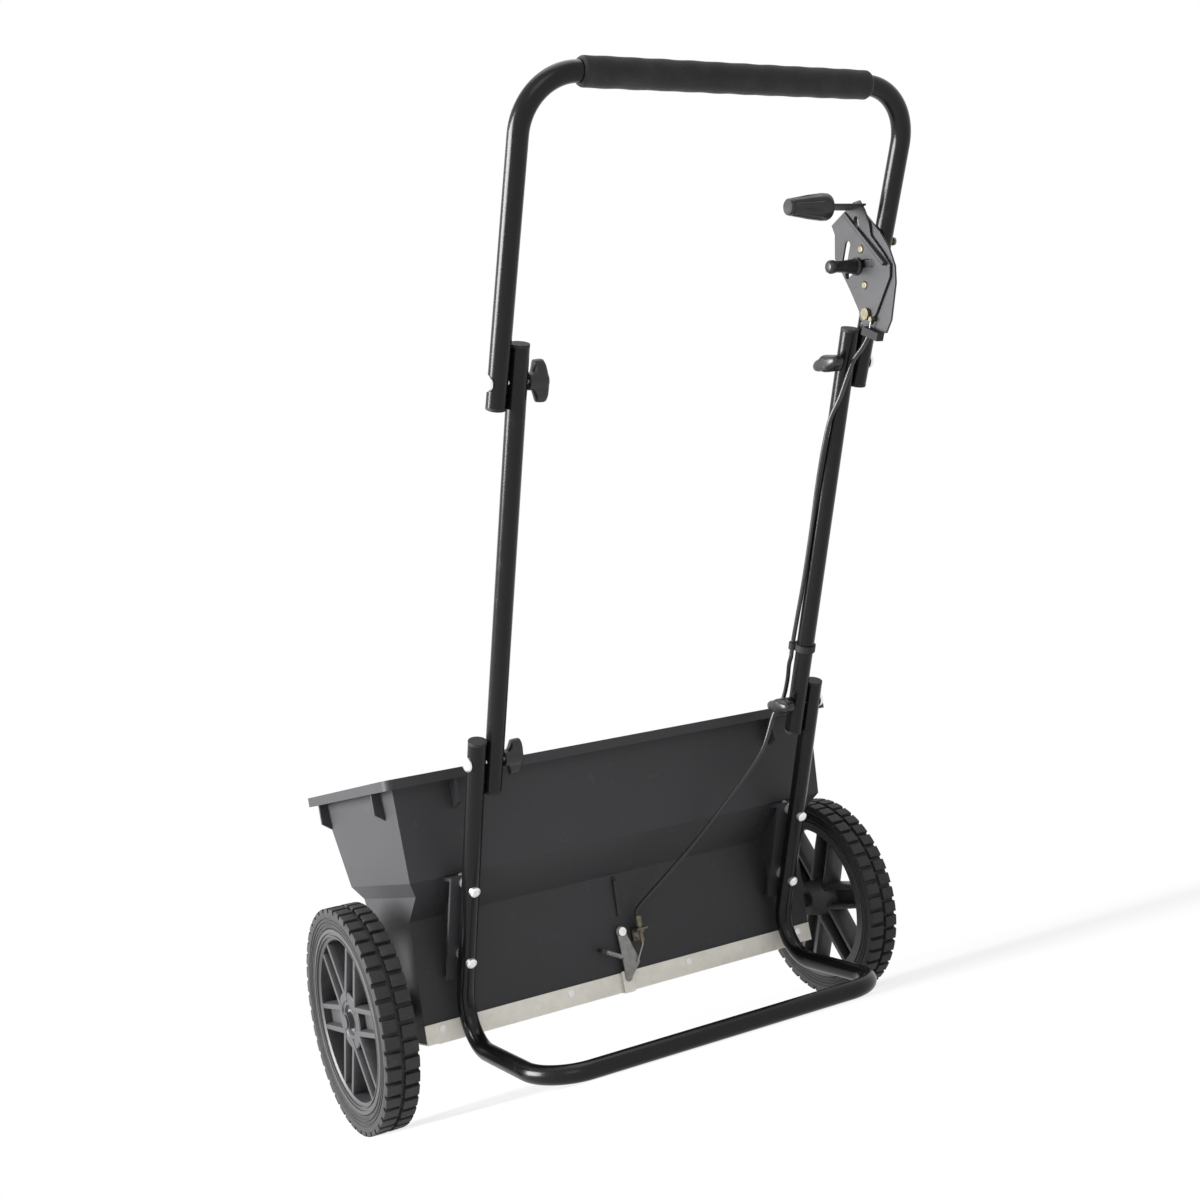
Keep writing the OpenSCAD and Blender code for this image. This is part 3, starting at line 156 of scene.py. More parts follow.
floor_half, floor_z, floor_side = 20, -0.0005, 9
u, v = np.meshgrid(*[np.linspace(-floor_half, floor_half, floor_side)] * 2)
floor_mesh = bpy.data.meshes.new("floor")
grid = np.arange(floor_side ** 2).reshape(floor_side, floor_side)
floor_mesh.from_pydata(
    np.stack([u, v, 0 * u + floor_z], -1).reshape(-1, 3).tolist(), [],
    np.stack([grid[:-1, :-1], grid[:-1, 1:], grid[1:, 1:], grid[1:, :-1]], -1).reshape(-1, 4).tolist())
floor = bpy.data.objects.new("floor", floor_mesh)
scene.collection.objects.link(floor)
floor_mesh.materials.append(bpy.data.materials.new("white sweep"))
w = tree_of(floor_mesh.materials[0])
lit = w.add("BsdfDiffuse", {}, {"Color": (0.80, 0.80, 0.80, 1)})
glow = w.add("Emission", {}, {"Color": (1, 1, 1, 1), "Strength": 1.0})
distance = w.add("VectorMath", {"operation": "LENGTH"}, {0: w.add("TexCoord", {}, {}, "Object")}, "Value")
# The floor turns fully white from 0.5 m to 1.7 m away, so that it keeps the shadow but shows no horizon.
away = w.add("MapRange", {"interpolation_type": "SMOOTHSTEP"}, {0: distance, 1: 0.5, 2: 1.7, 3: 0.80, 4: 1.0})
sweep = w.add("MixShader", {}, {0: white_for_rays(w) * away, 1: lit, 2: glow})
w.add("OutputMaterial", {}, {"Surface": sweep})

aim = Vector((0, 0, 0.4))
for name, place, size, power in (
        ("key", (-3.0, 0.7, 1.3), 1.8, 300),
        ("top", (0.3, -0.6, 3.0), 2.2, 26),
        ("camera side", (-1.2, -3.0, 1.2), 1.4, 12)):
    lamp = bpy.data.objects.new(name, bpy.data.lights.new(name, "AREA"))
    lamp.data.size = size
    lamp.data.energy = power
    facing = (aim - Vector(place)).to_track_quat("-Z", "Y")
    lamp.matrix_world = Matrix.Translation(place) @ facing.to_matrix().to_4x4()
    scene.collection.objects.link(lamp)

# ---- Hopper ----
# One large tub of injection-moulded black polypropylene, open at the top, with a folded rim, ribs under it
# and two brackets moulded on the rear wall. The outer faces carry a fine eroded grain that scuffs pale.


def material(name):
    """A new material with its tree, and its Object coordinates in metres."""
    m = bpy.data.materials.new(name)
    w = tree_of(m)
    return m, w, w.add("TexCoord", {}, {}, "Object")


def noise(at, scale, detail=3.0, rough=0.55, stretch=(1, 1, 1)):
    """Cloudy noise from 0 to 1, scale lumps to the metre, drawn out along an axis where stretch is small."""
    return at.add("TexNoise", {}, {
        "Vector": at.add("Mapping", {}, {"Vector": at, "Scale": stretch}),
        "Scale": scale, "Detail": detail, "Roughness": rough})


def ramp(value, *stops):
    """A value or colour read off a ramp of (place, tone) stops."""
    return value.add("ValToRGB", {"stops": stops}, {"Fac": value})


def mix(a, b, share):
    """Colour a turning to colour b as share goes from 0 to 1."""
    return share.add("Mix", {"data_type": "RGBA"}, {
        0: share, 6: a if isinstance(a, Wire) else (*a, 1), 7: b if isinstance(b, Wire) else (*b, 1)}, 2)


def close(w, colour, roughness, height, depth, metallic=0.0, **fixed):
    """Ends a material: a Principled shader with a Bump of this depth in metres, and fixed socket values."""
    bump = w.add("Bump", {}, {"Strength": 1.0, "Distance": depth, "Height": height})
    values = {"Base Color": colour, "Roughness": roughness, "Metallic": metallic, "Normal": bump}
    values.update({key.replace("_", " "): value for key, value in fixed.items()})
    shader = w.add("BsdfPrincipled", {}, values)
    w.add("OutputMaterial", {}, {"Surface": shader})


def give(m, *names):
    """Puts a material on CAD nodes."""
    for name in names:
        nodes[name].data.materials.clear()
        nodes[name].data.materials.append(m)


hopper_plastic, w, at = material("grained black polypropylene")
cloud = noise(at, 7, 4)
grain = noise(at, 1500, 2)
scuff = ramp(noise(at, 60, 6, 0.7, (1, 0.25, 1)), (0.62, 0.0), (0.80, 1.0))
close(w, mix(mix((0.020, 0.020, 0.022), (0.032, 0.032, 0.035), cloud), (0.10, 0.10, 0.10), scuff * 0.35),
      0.50 + 0.12 * cloud + 0.08 * scuff, grain + 0.6 * noise(at, 260, 3), 0.00008, Specular_IOR_Level=0.4)
give(hopper_plastic, "hopper")

# ---- Outlet ----
# A trough of galvanised sheet screwed under the hopper, with a row of outlets, and the plate that slides
# beneath it on rivets to open and close them.

sheet_zinc, w, at = material("galvanised sheet")
flake = at.add("TexVoronoi", {}, {"Vector": at, "Scale": 160.0}, "Color")
tone = at.add("SeparateColor", {}, {"Color": flake})
rolled = noise(at, 40, 5, 0.6, (0.06, 1, 8))
dull = ramp(noise(at, 18, 5), (0.45, 0.0), (0.75, 1.0))
zinc = mix((0.95, 0.91, 0.82), (0.84, 0.81, 0.73), tone * 0.5 + rolled * 0.4)
close(w, mix(zinc, (0.60, 0.56, 0.48), dull * 0.35),
      0.40 + 0.16 * rolled + 0.12 * dull, rolled, 0.00003, 0.15)
give(sheet_zinc, "outlet_pan", "shutter_plate")

bright_zinc, w, at = material("bright zinc plate")
brushed = noise(at, 900, 3, 0.6, (1, 0.1, 1))
bloom = ramp(noise(at, 90, 4), (0.5, 0.0), (0.8, 1.0))
close(w, mix((0.86, 0.86, 0.85), (0.62, 0.62, 0.60), bloom * 0.6), 0.22 + 0.18 * brushed + 0.15 * bloom,
      brushed, 0.00002, 0.85)
give(bright_zinc, "pan_screws", "shutter_rivets", "axle", "frame_bolts", "frame_washers",
     "bracket_screws", "crank_pivot")

# ---- Tyres ----
# Black rubber tyres stretched over the rims: two staggered rows of square tread blocks round a centre groove,
# and side walls with fine raised rings. Earth dust lies on them in patches.


def skin(name, m, *grids, closed=True):
    """One piece from grids of points [v, u], each joined round in u and shut at its ends, or round in v too
    where closed says so. A grid whose faces point inwards by its signed volume has its rows turned over."""
    verts, faces = [], []
    for points in grids:
        if not closed:
            points = np.concatenate([np.repeat(points[:1].mean(1, keepdims=True), points.shape[1], 1), points,
                                     np.repeat(points[-1:].mean(1, keepdims=True), points.shape[1], 1)])
        ids = np.arange(points.shape[0] * points.shape[1]).reshape(points.shape[:2]) + sum(map(len, verts))
        ids = np.concatenate([ids, ids[:, :1]], 1)
        ids = np.concatenate([ids, ids[:1]]) if closed else ids
        quads = np.stack([ids[:-1, :-1], ids[:-1, 1:], ids[1:, 1:], ids[1:, :-1]], -1).reshape(-1, 4)
        verts.append(points.reshape(-1, 3))
        p = np.concatenate(verts)[quads] - verts[-1].mean(0)
        volume = (np.cross(p[:, 0], p[:, 1]) * p[:, 2]).sum() + (np.cross(p[:, 0], p[:, 2]) * p[:, 3]).sum()
        faces.append(quads if volume > 0 else quads[:, ::-1])
    mesh = bpy.data.meshes.new(name)
    mesh.from_pydata(np.concatenate(verts).tolist(), [], np.concatenate(faces).tolist())
    mesh.materials.append(m)
    piece = bpy.data.objects.new(name, mesh)
    scene.collection.objects.link(piece)
    merge = piece.modifiers.new("merge", "WELD")
    merge.merge_threshold = 1e-6
    return piece


def shade(piece, angle=35):
    """Smooth faces, sharp where two of them meet at more than this angle."""
    mesh = piece.data
    with bpy.context.temp_override(object=piece, active_object=piece, selected_editable_objects=[piece]):
        bpy.ops.object.modifier_apply(modifier="merge")
    mesh.polygons.foreach_set("use_smooth", np.ones(len(mesh.polygons), bool))
    mesh.set_sharp_from_angle(angle=math.radians(angle))
    return piece


def lathe(profile, sides, swell=None):
    """A surface turned about X: profile points (x, r) in millimetres make rings (x, r cos a, r sin a)."""
    p = np.asarray(profile, float) / 1000
    a = np.linspace(0, 2 * math.pi, sides, endpoint=False)
    r = p[:, 1:2] * (1 if swell is None else swell(p[:, 0:1] * 1000, a[None]))
    return np.stack([p[:, 0:1] + 0 * a, r * np.cos(a), r * np.sin(a)], -1)


def put(piece, body, slot, *replaced):
    """Fixes a piece to its body, and takes away the CAD nodes that it stands for. Its slot is not used."""
    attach(piece, body)
    if replaced:
        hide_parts(*replaced)


tyre_rubber, w, at = material("dull black tyre rubber")
pore = noise(at, 2200, 2)
dirt = ramp(noise(at, 70, 6, 0.75), (0.50, 0.0), (0.80, 1.0))
black = mix((0.014, 0.014, 0.014), (0.026, 0.026, 0.026), noise(at, 25, 3))
close(w, mix(black, (0.085, 0.078, 0.066), dirt * 0.4),
      0.66 + 0.15 * dirt, pore + noise(at, 350, 3), 0.00012, Specular_IOR_Level=0.35)

# The section's points are (radius, distance from the tyre's middle): a side wall with rings, and a crown.
wheel_x = 319.6
blocks = 44
floor_r, block_high = 120, 4.6
wall = [(102.5, 16.0), (104, 17.2), (106, 17.2), (106.6, 18.2), (108, 18.2), (108.6, 17.2), (110, 17.2),
        (110.6, 18.4), (112, 18.4), (112.6, 17.4), (114, 17.4), (114.8, 18.6), (118.6, 19.0)]
crown = [(119.6, 19.0), (120.2, 18.8), (124.2, 18.7), (124.9, 18.0), (125, 10), (125, 3), (124.8, 2.2),
         (120.3, 1.9), (120, 0.8)]
half = np.array(wall + crown)
section = np.concatenate([half * [1, -1], half[::-1]])
on_block = (section[:, 0] > 119.9) & (abs(section[:, 1]) > 1.9)
# Each pitch has seven rows of points. The second and third are cut down to the groove between two blocks.
cells = np.array([0.0, 0.03, 0.27, 0.30, 0.33, 0.65, 0.97])
gap = np.tile([0, 1, 1, 0, 0, 0, 0], blocks)
pitch = 2 * math.pi / blocks
turn = (np.arange(blocks)[:, None] + cells).reshape(-1) * pitch
stagger = np.where(section[:, 1] > 0, 0.5, 0.0)[:, None] * pitch
a = turn[None] + stagger
cut = gap[None] * np.clip(section[:, :1] - floor_r, 0, block_high)
r = section[:, :1] - np.where(on_block[:, None], cut, 0)
for x_side, body, node in ((-1, "left_wheel", "tyre_left"), (1, "axle_set", "tyre_right")):
    x = x_side * (wheel_x + section[:, 1:2]) + 0 * a
    surface = np.stack([x, r * np.cos(a), r * np.sin(a)], -1) / 1000 + axle_centre
    tyre = skin("tyre_" + body, tyre_rubber, surface)
    put(shade(tyre, 30), body, "tyre_black", node)

# ---- Wheels and axle ----
# Wheels moulded in satin black plastic: a stepped rim and six broad channel spokes that run into a wide hub.
# The right wheel drives the axle and its agitator, and the left one runs free. Plastic bushes carry the axle.

wheel_plastic, w, at = material("satin black wheel plastic")
cloud = noise(at, 14, 4)
dust = ramp(noise(at, 45, 6, 0.7), (0.55, 0.0), (0.85, 1.0))
close(w, mix(mix((0.030, 0.030, 0.032), (0.046, 0.046, 0.048), cloud), (0.13, 0.125, 0.115), dust * 0.3),
      0.38 + 0.14 * cloud + 0.15 * dust, noise(at, 1300, 2) + 0.5 * noise(at, 120, 3), 0.00006)
give(wheel_plastic, "hub_cap_left", "hub_cap_right")


def bar(start, end, across, deep, width0, width1, depth, sides=20):
    """A rounded bar from start to end. Its section is a squircle |p|^6 + |q|^6 = 1, and its width goes from
    width0 to width1."""
    a = np.linspace(0, 2 * math.pi, sides, endpoint=False)
    reach = (abs(np.cos(a)) ** 6 + abs(np.sin(a)) ** 6) ** (-1 / 6)
    p = (reach * np.cos(a))[None, :, None]
    q = (reach * np.sin(a))[None, :, None]
    v = np.array([0, 0.02, 0.5, 0.98, 1.0])[:, None, None]
    width = (width0 + (width1 - width0) * v) / 2
    return np.asarray(start) + (np.asarray(end) - start) * v + p * across * width + q * deep * depth / 2


rim = [(-17, 99), (-17, 101.5), (-14, 103), (14, 103), (17, 101.5), (17.6, 99.5), (17.6, 97.5), (15.8, 97),
       (15.8, 95), (17.2, 94.5), (17.2, 93.4), (15.2, 93), (15.2, 92), (14.4, 91), (13.5, 89.5), (-13, 89.5),
       (-17, 91)]
hub = [(-30, 6.5), (-30, 19), (-6, 24), (3, 31), (11.5, 32), (12.6, 31), (12.8, 22), (11.8, 21), (11.8, 17),
       (9, 15.5), (7.9, 12.5), (7.9, 6.5)]
spoke_in_r, spoke_out_r, spokes, taper = 18, 91.5, 6, 0.9
# A channel is two flanges and the web between them: offset from its middle, width, place along X, depth.
channel = ((-13.0, 8.0, 0.8, 25.0), (13.0, 8.0, 0.8, 25.0), (0.0, 24.0, 3.0, 4.0))
rings = [lathe([(wheel_x + x, r) for x, r in profile], sides) for profile, sides in ((rim, 120), (hub, 60))]
bars = []
for k in range(spokes):
    for offset, width, x, depth in channel:
        spoke = bar((wheel_x + x, offset, spoke_in_r), (wheel_x + x, offset * taper, spoke_out_r),
                    np.array([0, 1, 0]), np.array([1, 0, 0]), width, width * taper, depth)
        bars.append(turned(no_place, (k + 0.5) * 2 * math.pi / spokes + tilt, spoke) / 1000)
for x_side, body, node in ((-1, "left_wheel", "wheel_left"), (1, "axle_set", "wheel_right")):
    mirror = [x_side, 1, 1]
    wheel = skin("wheel_" + body, wheel_plastic, *[ring * mirror + axle_centre for ring in rings])
    put(shade(wheel), body, "wheel_black", node)
    placed = [b * mirror + axle_centre for b in bars]
    wheel_spokes = skin("spokes_" + body, wheel_plastic, *placed, closed=False)
    put(shade(wheel_spokes), body, "wheel_black")

smooth_black, w, at = material("smooth moulded black")
flow = noise(at, 30, 4, 0.5, (1, 1, 0.3))
handled = ramp(noise(at, 120, 5), (0.5, 0.0), (0.8, 1.0))
close(w, mix((0.010, 0.010, 0.011), (0.030, 0.030, 0.032), flow * 0.5 + handled * 0.2),
      0.30 + 0.18 * handled, flow + 0.4 * noise(at, 900, 2), 0.00005, Specular_IOR_Level=0.4)
give(smooth_black, "agitator")

plug_plastic, w, at = material("matt black plug plastic")
speck = ramp(noise(at, 700, 3), (0.5, 0.0), (0.75, 1.0))
close(w, mix((0.012, 0.012, 0.012), (0.040, 0.040, 0.040), speck * 0.5), 0.62 + 0.14 * speck,
      speck + noise(at, 150, 4), 0.00006, Specular_IOR_Level=0.3)
give(plug_plastic, "axle_bush_left", "axle_bush_right", "axle_spacers", "stand_plugs", "middle_plugs",
     "handle_plugs", "cable_clamp", "cable_clip")

# ---- Stand and handle tubes ----
# Bent steel tube under gloss black powder coat: the stand, the two middle tubes and the U of the handle.
# The coat has a slight orange peel, and a little dust has settled on it.

tube_coat, w, at = material("gloss black powder coat")
peel = noise(at, 420, 2, 0.4)
dust = ramp(noise(at, 55, 7, 0.75), (0.58, 0.0), (0.90, 1.0))
close(w, mix((0.004, 0.004, 0.0045), (0.050, 0.049, 0.046), dust * 0.2),
      0.20 + 0.05 * noise(at, 9, 3) + 0.22 * dust, peel, 0.00005, Specular_IOR_Level=0.25)
give(tube_coat, "stand_frame", "middle_tube_left", "middle_tube_right", "upper_handle")

# ---- Foam grip ----
# A sleeve of closed-cell foam pushed over the crossbar: it bulges a little between its cut ends, and is
# softly uneven where hands have pressed it.

foam, w, at = material("fine black foam")
cell = at.add("TexVoronoi", {}, {"Vector": at, "Scale": 900.0}, "Distance")
worn = ramp(noise(at, 40, 5), (0.45, 0.0), (0.8, 1.0))
# The colour follows the cell depth of the bump: painted shade darkens the pits of the cells, and their rims
# stay lighter. The lighter patches from worn are real wear.
close(w, mix((0.012, 0.012, 0.013), (0.040, 0.040, 0.042), worn * 0.5 + cell * 0.3), 0.88 + 0.08 * worn,
      cell + 0.8 * noise(at, 160, 4), 0.00025,
      Sheen_Weight=0.15, Sheen_Roughness=0.5, Specular_IOR_Level=0.25)


def box_mm(node):
    """The centre of a node's box and its half size, in millimetres."""
    low, high = (np.array(corner) * 1000 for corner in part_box(node))
    return (low + high) / 2, (high - low) / 2


def pressed(x, a):
    """Low waves over the foam: 3 round the sleeve and 7 round it, winding slowly along x."""
    return 1 + 0.006 * np.sin(3 * a + 0.060 * x) * np.cos(0.095 * x + 1) + 0.003 * np.sin(7 * a - 0.14 * x)


centre, half = box_mm("foam_grip")
x = np.concatenate([[-half[0]], half[0] * np.linspace(-0.999, 0.999, 160), [half[0]]])
edge = np.clip((half[0] - abs(x)) / 4, 0, 1)
sleeve_r = half[2] * (0.86 + 0.13 * np.sqrt(1 - (1 - edge) ** 2)) - 0.2 * np.cos(x * 0.21)
sleeve = lathe(np.stack([x, sleeve_r], 1), 64, pressed) + centre / 1000
grip = skin("foam_sleeve", foam, sleeve, closed=False)
put(shade(grip, 60), "upper_handle", "foam_black", "foam_grip")

# ---- Knobs and their bolts ----
# Four two-winged knobs moulded in black plastic clamp the folding joints, each on a zinc-plated cup-head
# bolt whose domed head sits on the outer tube.

lower_fold, upper_fold = (np.array(joints[name]["pos_m"]) for name in ("lower_fold", "upper_fold"))
leg_x, knob_seat_x = 216.0, 185.3
handle_lean = math.radians(35) + tilt


def wings(x, a):
    """How far a knob swells: two petals cos(a)^8, rising from its neck and rounded off at its outer face."""
    rise = np.clip((x - 5) / 3, 0, 1) * np.sqrt(np.clip(1 - np.clip((x - 17) / 5, 0, 1) ** 2, 0, 1))
    return 1 + 1.25 * rise * abs(np.cos(a)) ** 8


knob_profile = [(0.4, 6.5), (0.4, 8.6), (4, 8.8), (5.5, 8.8), (8, 9), (12, 9.2), (16, 9.2), (18, 9.0),
                (19.6, 8.4), (20.7, 7.2), (21.2, 5.5), (21.4, 2.5)]
bolt_profile = [(-51, 2.9), (-8, 2.9), (8.6, 3), (8.6, 7.6), (10.0, 8.0), (11.4, 7.6), (12.7, 6.6),
                (13.7, 5.0), (14.3, 3.0), (14.5, 1.0)]
# Each knob stopped at its own angle to the tube when it was tightened: left, then right.
for level, pivot, carrier, lean, stops in (
        ("lower", lower_fold, "chassis", tilt, (121, 191)),
        ("upper", upper_fold, "upper_handle", handle_lean, (70, 152))):
    bolts = []
    for x_side, word, stop in ((-1, "left", stops[0]), (1, "right", stops[1])):
        mirror = [x_side, 1, 1]
        knob = turned(no_place, math.radians(stop) + lean, lathe(knob_profile, 72, wings)) * [-1, 1, 1]
        knob = (knob + [knob_seat_x / 1000, 0, 0]) * mirror + pivot
        piece = skin(f"{level}_wing_knob_{word}", smooth_black, knob, closed=False)
        put(shade(piece, 50), f"{level}_knob_{word}_body", "knob_black", f"{level}_knob_{word}")
        bolts.append((lathe(bolt_profile, 40) + [leg_x / 1000, 0, 0]) * mirror + pivot)
    piece = skin(f"{level}_cup_bolts", bright_zinc, *bolts, closed=False)
    put(shade(piece, 50), carrier, "steel_zinc", f"{level}_knob_bolts")

# ---- Flow control ----
# Stamped steel plate and lever on the right leg of the handle, coated dark grey, with yellow-plated screws,
# pivot and rivets. A ribbed handgrip is pushed on the lever's tab, and a fluted knob clamps the stop.

stamped, w, at = material("dark grey stamped steel")
rolled = noise(at, 60, 5, 0.6, (1, 0.15, 1))
rubbed = ramp(noise(at, 90, 6, 0.7, (1, 1, 0.3)), (0.60, 0.0), (0.78, 1.0))
close(w, mix(mix((0.030, 0.030, 0.032), (0.052, 0.052, 0.054), rolled), (0.16, 0.16, 0.155), rubbed * 0.4),
      0.36 + 0.14 * rolled - 0.08 * rubbed, rolled + 0.3 * noise(at, 800, 2), 0.00004, 0.45)

yellow_plate, w, at = material("yellow-passivated steel")
brushed = noise(at, 900, 3, 0.6, (1, 0.1, 1))
stain = ramp(noise(at, 150, 4), (0.4, 0.0), (0.8, 1.0))
close(w, mix(mix((0.20, 0.18, 0.12), (0.11, 0.095, 0.065), stain), (0.08, 0.07, 0.06), brushed * 0.4),
      0.34 + 0.16 * brushed + 0.14 * stain, brushed, 0.00002, 0.8)
give(yellow_plate, "lever_pivot", "wire_nipple", "stop_bolt",
     "cable_bracket", "cable_adjuster", "adjuster_nut")

plate_x, lever_x, sheet = 206, 203, 2.5
pivot_t, pivot_s = -15, 57
slot_r, slot_half = 52, 4


def on_leg(points):
    """Places points (x, t, s) in millimetres, with t in front of the right leg and s along it, in metres."""
    return turned(upper_fold, handle_lean, np.asarray(points, float) / 1000)


def stamping(name, outline, holes, x):
    """A flat pressing across X: its outline and holes are points (t, s). A filled curve with a small bevel
    gives it its broken edges."""
    broken = 0.3
    curve = bpy.data.curves.new(name, "CURVE")
    curve.dimensions = "2D"
    curve.fill_mode = "BOTH"
    curve.extrude = sheet / 2 - broken
    curve.bevel_depth = broken
    curve.offset = -broken
    for loop in (outline, *holes):
        line = curve.splines.new("POLY")
        line.points.add(len(loop) - 1)
        line.points.foreach_set("co", np.concatenate([loop, np.tile([0.0, 1.0], (len(loop), 1))], 1).ravel())
        line.use_cyclic_u = True
    flat = bpy.data.objects.new(name, curve)
    scene.collection.objects.link(flat)
    mesh = bpy.data.meshes.new_from_object(flat.evaluated_get(bpy.context.evaluated_depsgraph_get()))
    bpy.data.objects.remove(flat)
    co = np.empty(len(mesh.vertices) * 3, np.float32)
    mesh.vertices.foreach_get("co", co)
    t, s, up = co.reshape(-1, 3).T
    placed = on_leg(np.stack([x - sheet / 2 + up, t, s], -1))
    mesh.vertices.foreach_set("co", placed.astype(np.float32).ravel())
    mesh.update()
    mesh.materials.clear()
    mesh.materials.append(stamped)
    piece = bpy.data.objects.new(name, mesh)
    scene.collection.objects.link(piece)
    return piece


def ring_of(t, s, r, n=24):
    """Points of a round hole of radius r at (t, s)."""
    a = np.linspace(0, 2 * math.pi, n, endpoint=False)
    return np.stack([t + r * np.cos(a), s + r * np.sin(a)], -1)


def oblong(p, q, r, n=12):
    """Points of a slot with round ends of radius r from p to q."""
    p, q = np.asarray(p, float), np.asarray(q, float)
    along = math.atan2(*(q - p)[::-1])
    a = np.linspace(-math.pi / 2, math.pi / 2, n) + along
    arc = np.stack([np.cos(a), np.sin(a)], -1) * r
    return np.concatenate([q + arc, p - arc])


def arc_slot(a0, a1, n=14):
    """A slot round the lever's pivot from angle a0 to a1: out along one edge, round its end, and back."""
    end = np.radians(np.linspace(0, 180, 9)[1:-1])
    angle = np.radians(np.concatenate([
        np.linspace(a0, a1, n), np.full(7, a1), np.linspace(a1, a0, n), np.full(7, a0)]))
    round_end = np.concatenate([np.zeros(n), end, np.full(n, math.pi), math.pi + end])
    r = slot_r + slot_half * np.cos(round_end)
    ahead = slot_half * np.sin(round_end)
    return np.stack([pivot_t + r * np.sin(angle) + ahead * np.cos(angle),
                     pivot_s + r * np.cos(angle) - ahead * np.sin(angle)], -1)


# The lever's long sight slot shows through a wider one in the plate, and both have the same oval hole.
sight, window = oblong((36, 101), (36, 117), 4.2), oblong((41.5, 101), (41.5, 117), 6)
oval = oblong((27, 139), (30, 145), 3.5)
plate = stamping("flow_plate", [
    (-46, 45), (-24, 40), (-9, 40), (-1, 57), (19, 70), (35, 81), (55, 96), (61, 121), (58, 136), (45, 149),
    (22, 154), (-8, 141), (-26, 129), (-40, 114), (-46, 98), (-50, 60)],
    [arc_slot(35, 55), window, oval, ring_of(pivot_t, pivot_s, 3.9)], plate_x)
put(plate, "upper_handle", "stamped_grey", "control_plate")
blade = stamping("flow_lever_blade", [
    (-15, 45), (-6, 47.5), (-1, 56), (18, 72), (33, 83.5), (53, 98), (60, 122), (68, 130), (39, 161),
    (30, 165), (20, 158), (8, 146), (2, 135), (-22, 123), (-36, 114), (-39, 102), (-29, 62), (-23, 48)],
    [arc_slot(7, 55), sight, oval, ring_of(pivot_t, pivot_s, 4.1)], lever_x)
put(blade, "flow_lever", "stamped_grey", "control_lever")

# A tab bent in from the blade's top holds the handgrip, and a rib pressed across the blade stiffens it.
grip_centre, grip_half = box_mm("lever_grip")
across, deep = turned(no_place, handle_lean - math.radians(25), [(0, 1, 0), (0, 0, 1)])
tab = bar((grip_centre[0] + 18, *grip_centre[1:]), (lever_x - 0.2, *grip_centre[1:]),
          across, deep, 24, 26, sheet, 32)
rib_start, rib_end = on_leg([(199.4, -31, 113.6), (199.9, 48.5, 146.7)]) * 1000
rib_across = np.cross(rib_end - rib_start, [1, 0, 0])
rib_across /= np.linalg.norm(rib_across)
rib = bar(rib_start, rib_end, np.array([1, 0, 0]), rib_across, 9, 4.5, 4.2, 24)
folded = skin("lever_tab_and_rib", stamped, tab / 1000, rib / 1000, closed=False)
put(shade(folded, 40), "flow_lever", "stamped_grey")

rivet = [(199.2, 1.2), (199.0, 2.4), (199.3, 4.0), (200.0, 4.5), (200.6, 4.5), (200.6, 1)]
bolt = [(201.4, 1.0), (201.2, 2.6), (201.7, 4.2), (203.4, 4.4), (203.6, 2.5), (229, 2.5), (229.2, 4.2),
        (231.6, 4.2), (232, 1)]
for name, body, places, profile, replaced in (
        ("lever_rivets", "flow_lever", [(13.5, 118), (-3, 84)], rivet, ()),
        ("plate_bolts", "upper_handle", [(0, 129)], bolt, ("control_bolts",))):
    heads = [on_leg(lathe(profile, 32) * 1000 + [0, *place]) for place in places]
    piece = skin(name, yellow_plate, *heads, closed=False)
    put(shade(piece, 50), body, "brass_zinc", *replaced)


def grip_ribs(x, a):
    """Eight hollows cos(8a) between the handgrip's ribs, fading out towards its two ends."""
    fade = np.clip((x + half - 6) / 3, 0, 1) * np.clip((half - 9 - x) / 5, 0, 1)
    return 1 - 0.13 * fade * np.clip(2.2 * np.cos(8 * a) - 0.8, 0, 1)


def stop_flutes(x, a):
    """Nine shallow flats round the stop knob's barrel, where cos(9a) is above 0.55."""
    return 1 - 0.035 * np.clip((-x - 3) / 3, 0, 1) * (np.cos(9 * a) > 0.55)


half = grip_half[0]
grip_profile = [(-half, 5.5), (-half, 7.6), (-half + 0.8, 8.4), (-half + 4, 8.9), (-half + 5, 8.3),
                (-half + 6, 9.2), (-half + 12, 10.1), (0, 12.2), (half - 12, 13.6), (half - 9, 14),
                (half - 2, 13.9), (half, 13), (half, 4)]
ribbed = lathe(grip_profile, 96, grip_ribs) + grip_centre / 1000
handgrip = skin("lever_handgrip", smooth_black, ribbed, closed=False)
put(shade(handgrip, 40), "flow_lever", "knob_black", "lever_grip")

stop_centre, stop_half = box_mm("stop_knob")
stop_profile = [(0, 4.2), (0, 9.2), (-1.8, 9.4), (-2.6, 8.6), (-3.4, 7.7), (-9, 7.4), (-17, 6.4), (-26, 5.9),
                (-29, 6.3), (-31.5, 7.1), (-34.5, 7.2), (-36.8, 6.2), (-37.8, 4.2), (-38, 1.5)]
fluted = lathe(stop_profile, 64, stop_flutes) + (stop_centre + [stop_half[0], 0, 0]) / 1000
stop_knob = skin("stop_knob_fluted", smooth_black, fluted, closed=False)
put(shade(stop_knob, 40), "stop", "knob_black", "stop_knob")

# ---- Cable ----
# A flexible cable in a slick black casing runs from the lever's clamp down the right tube and behind the
# hopper to its adjuster, and its bare wire pulls the crank. It is drawn in three runs that curve near both
# folds of the handle, and only the middle run is fixed to a body.

casing, w, at = material("slick black casing")
wave = noise(at, 220, 3)
close(w, mix((0.008, 0.008, 0.008), (0.028, 0.028, 0.028), wave * 0.5), 0.26 + 0.12 * wave, wave, 0.00006)


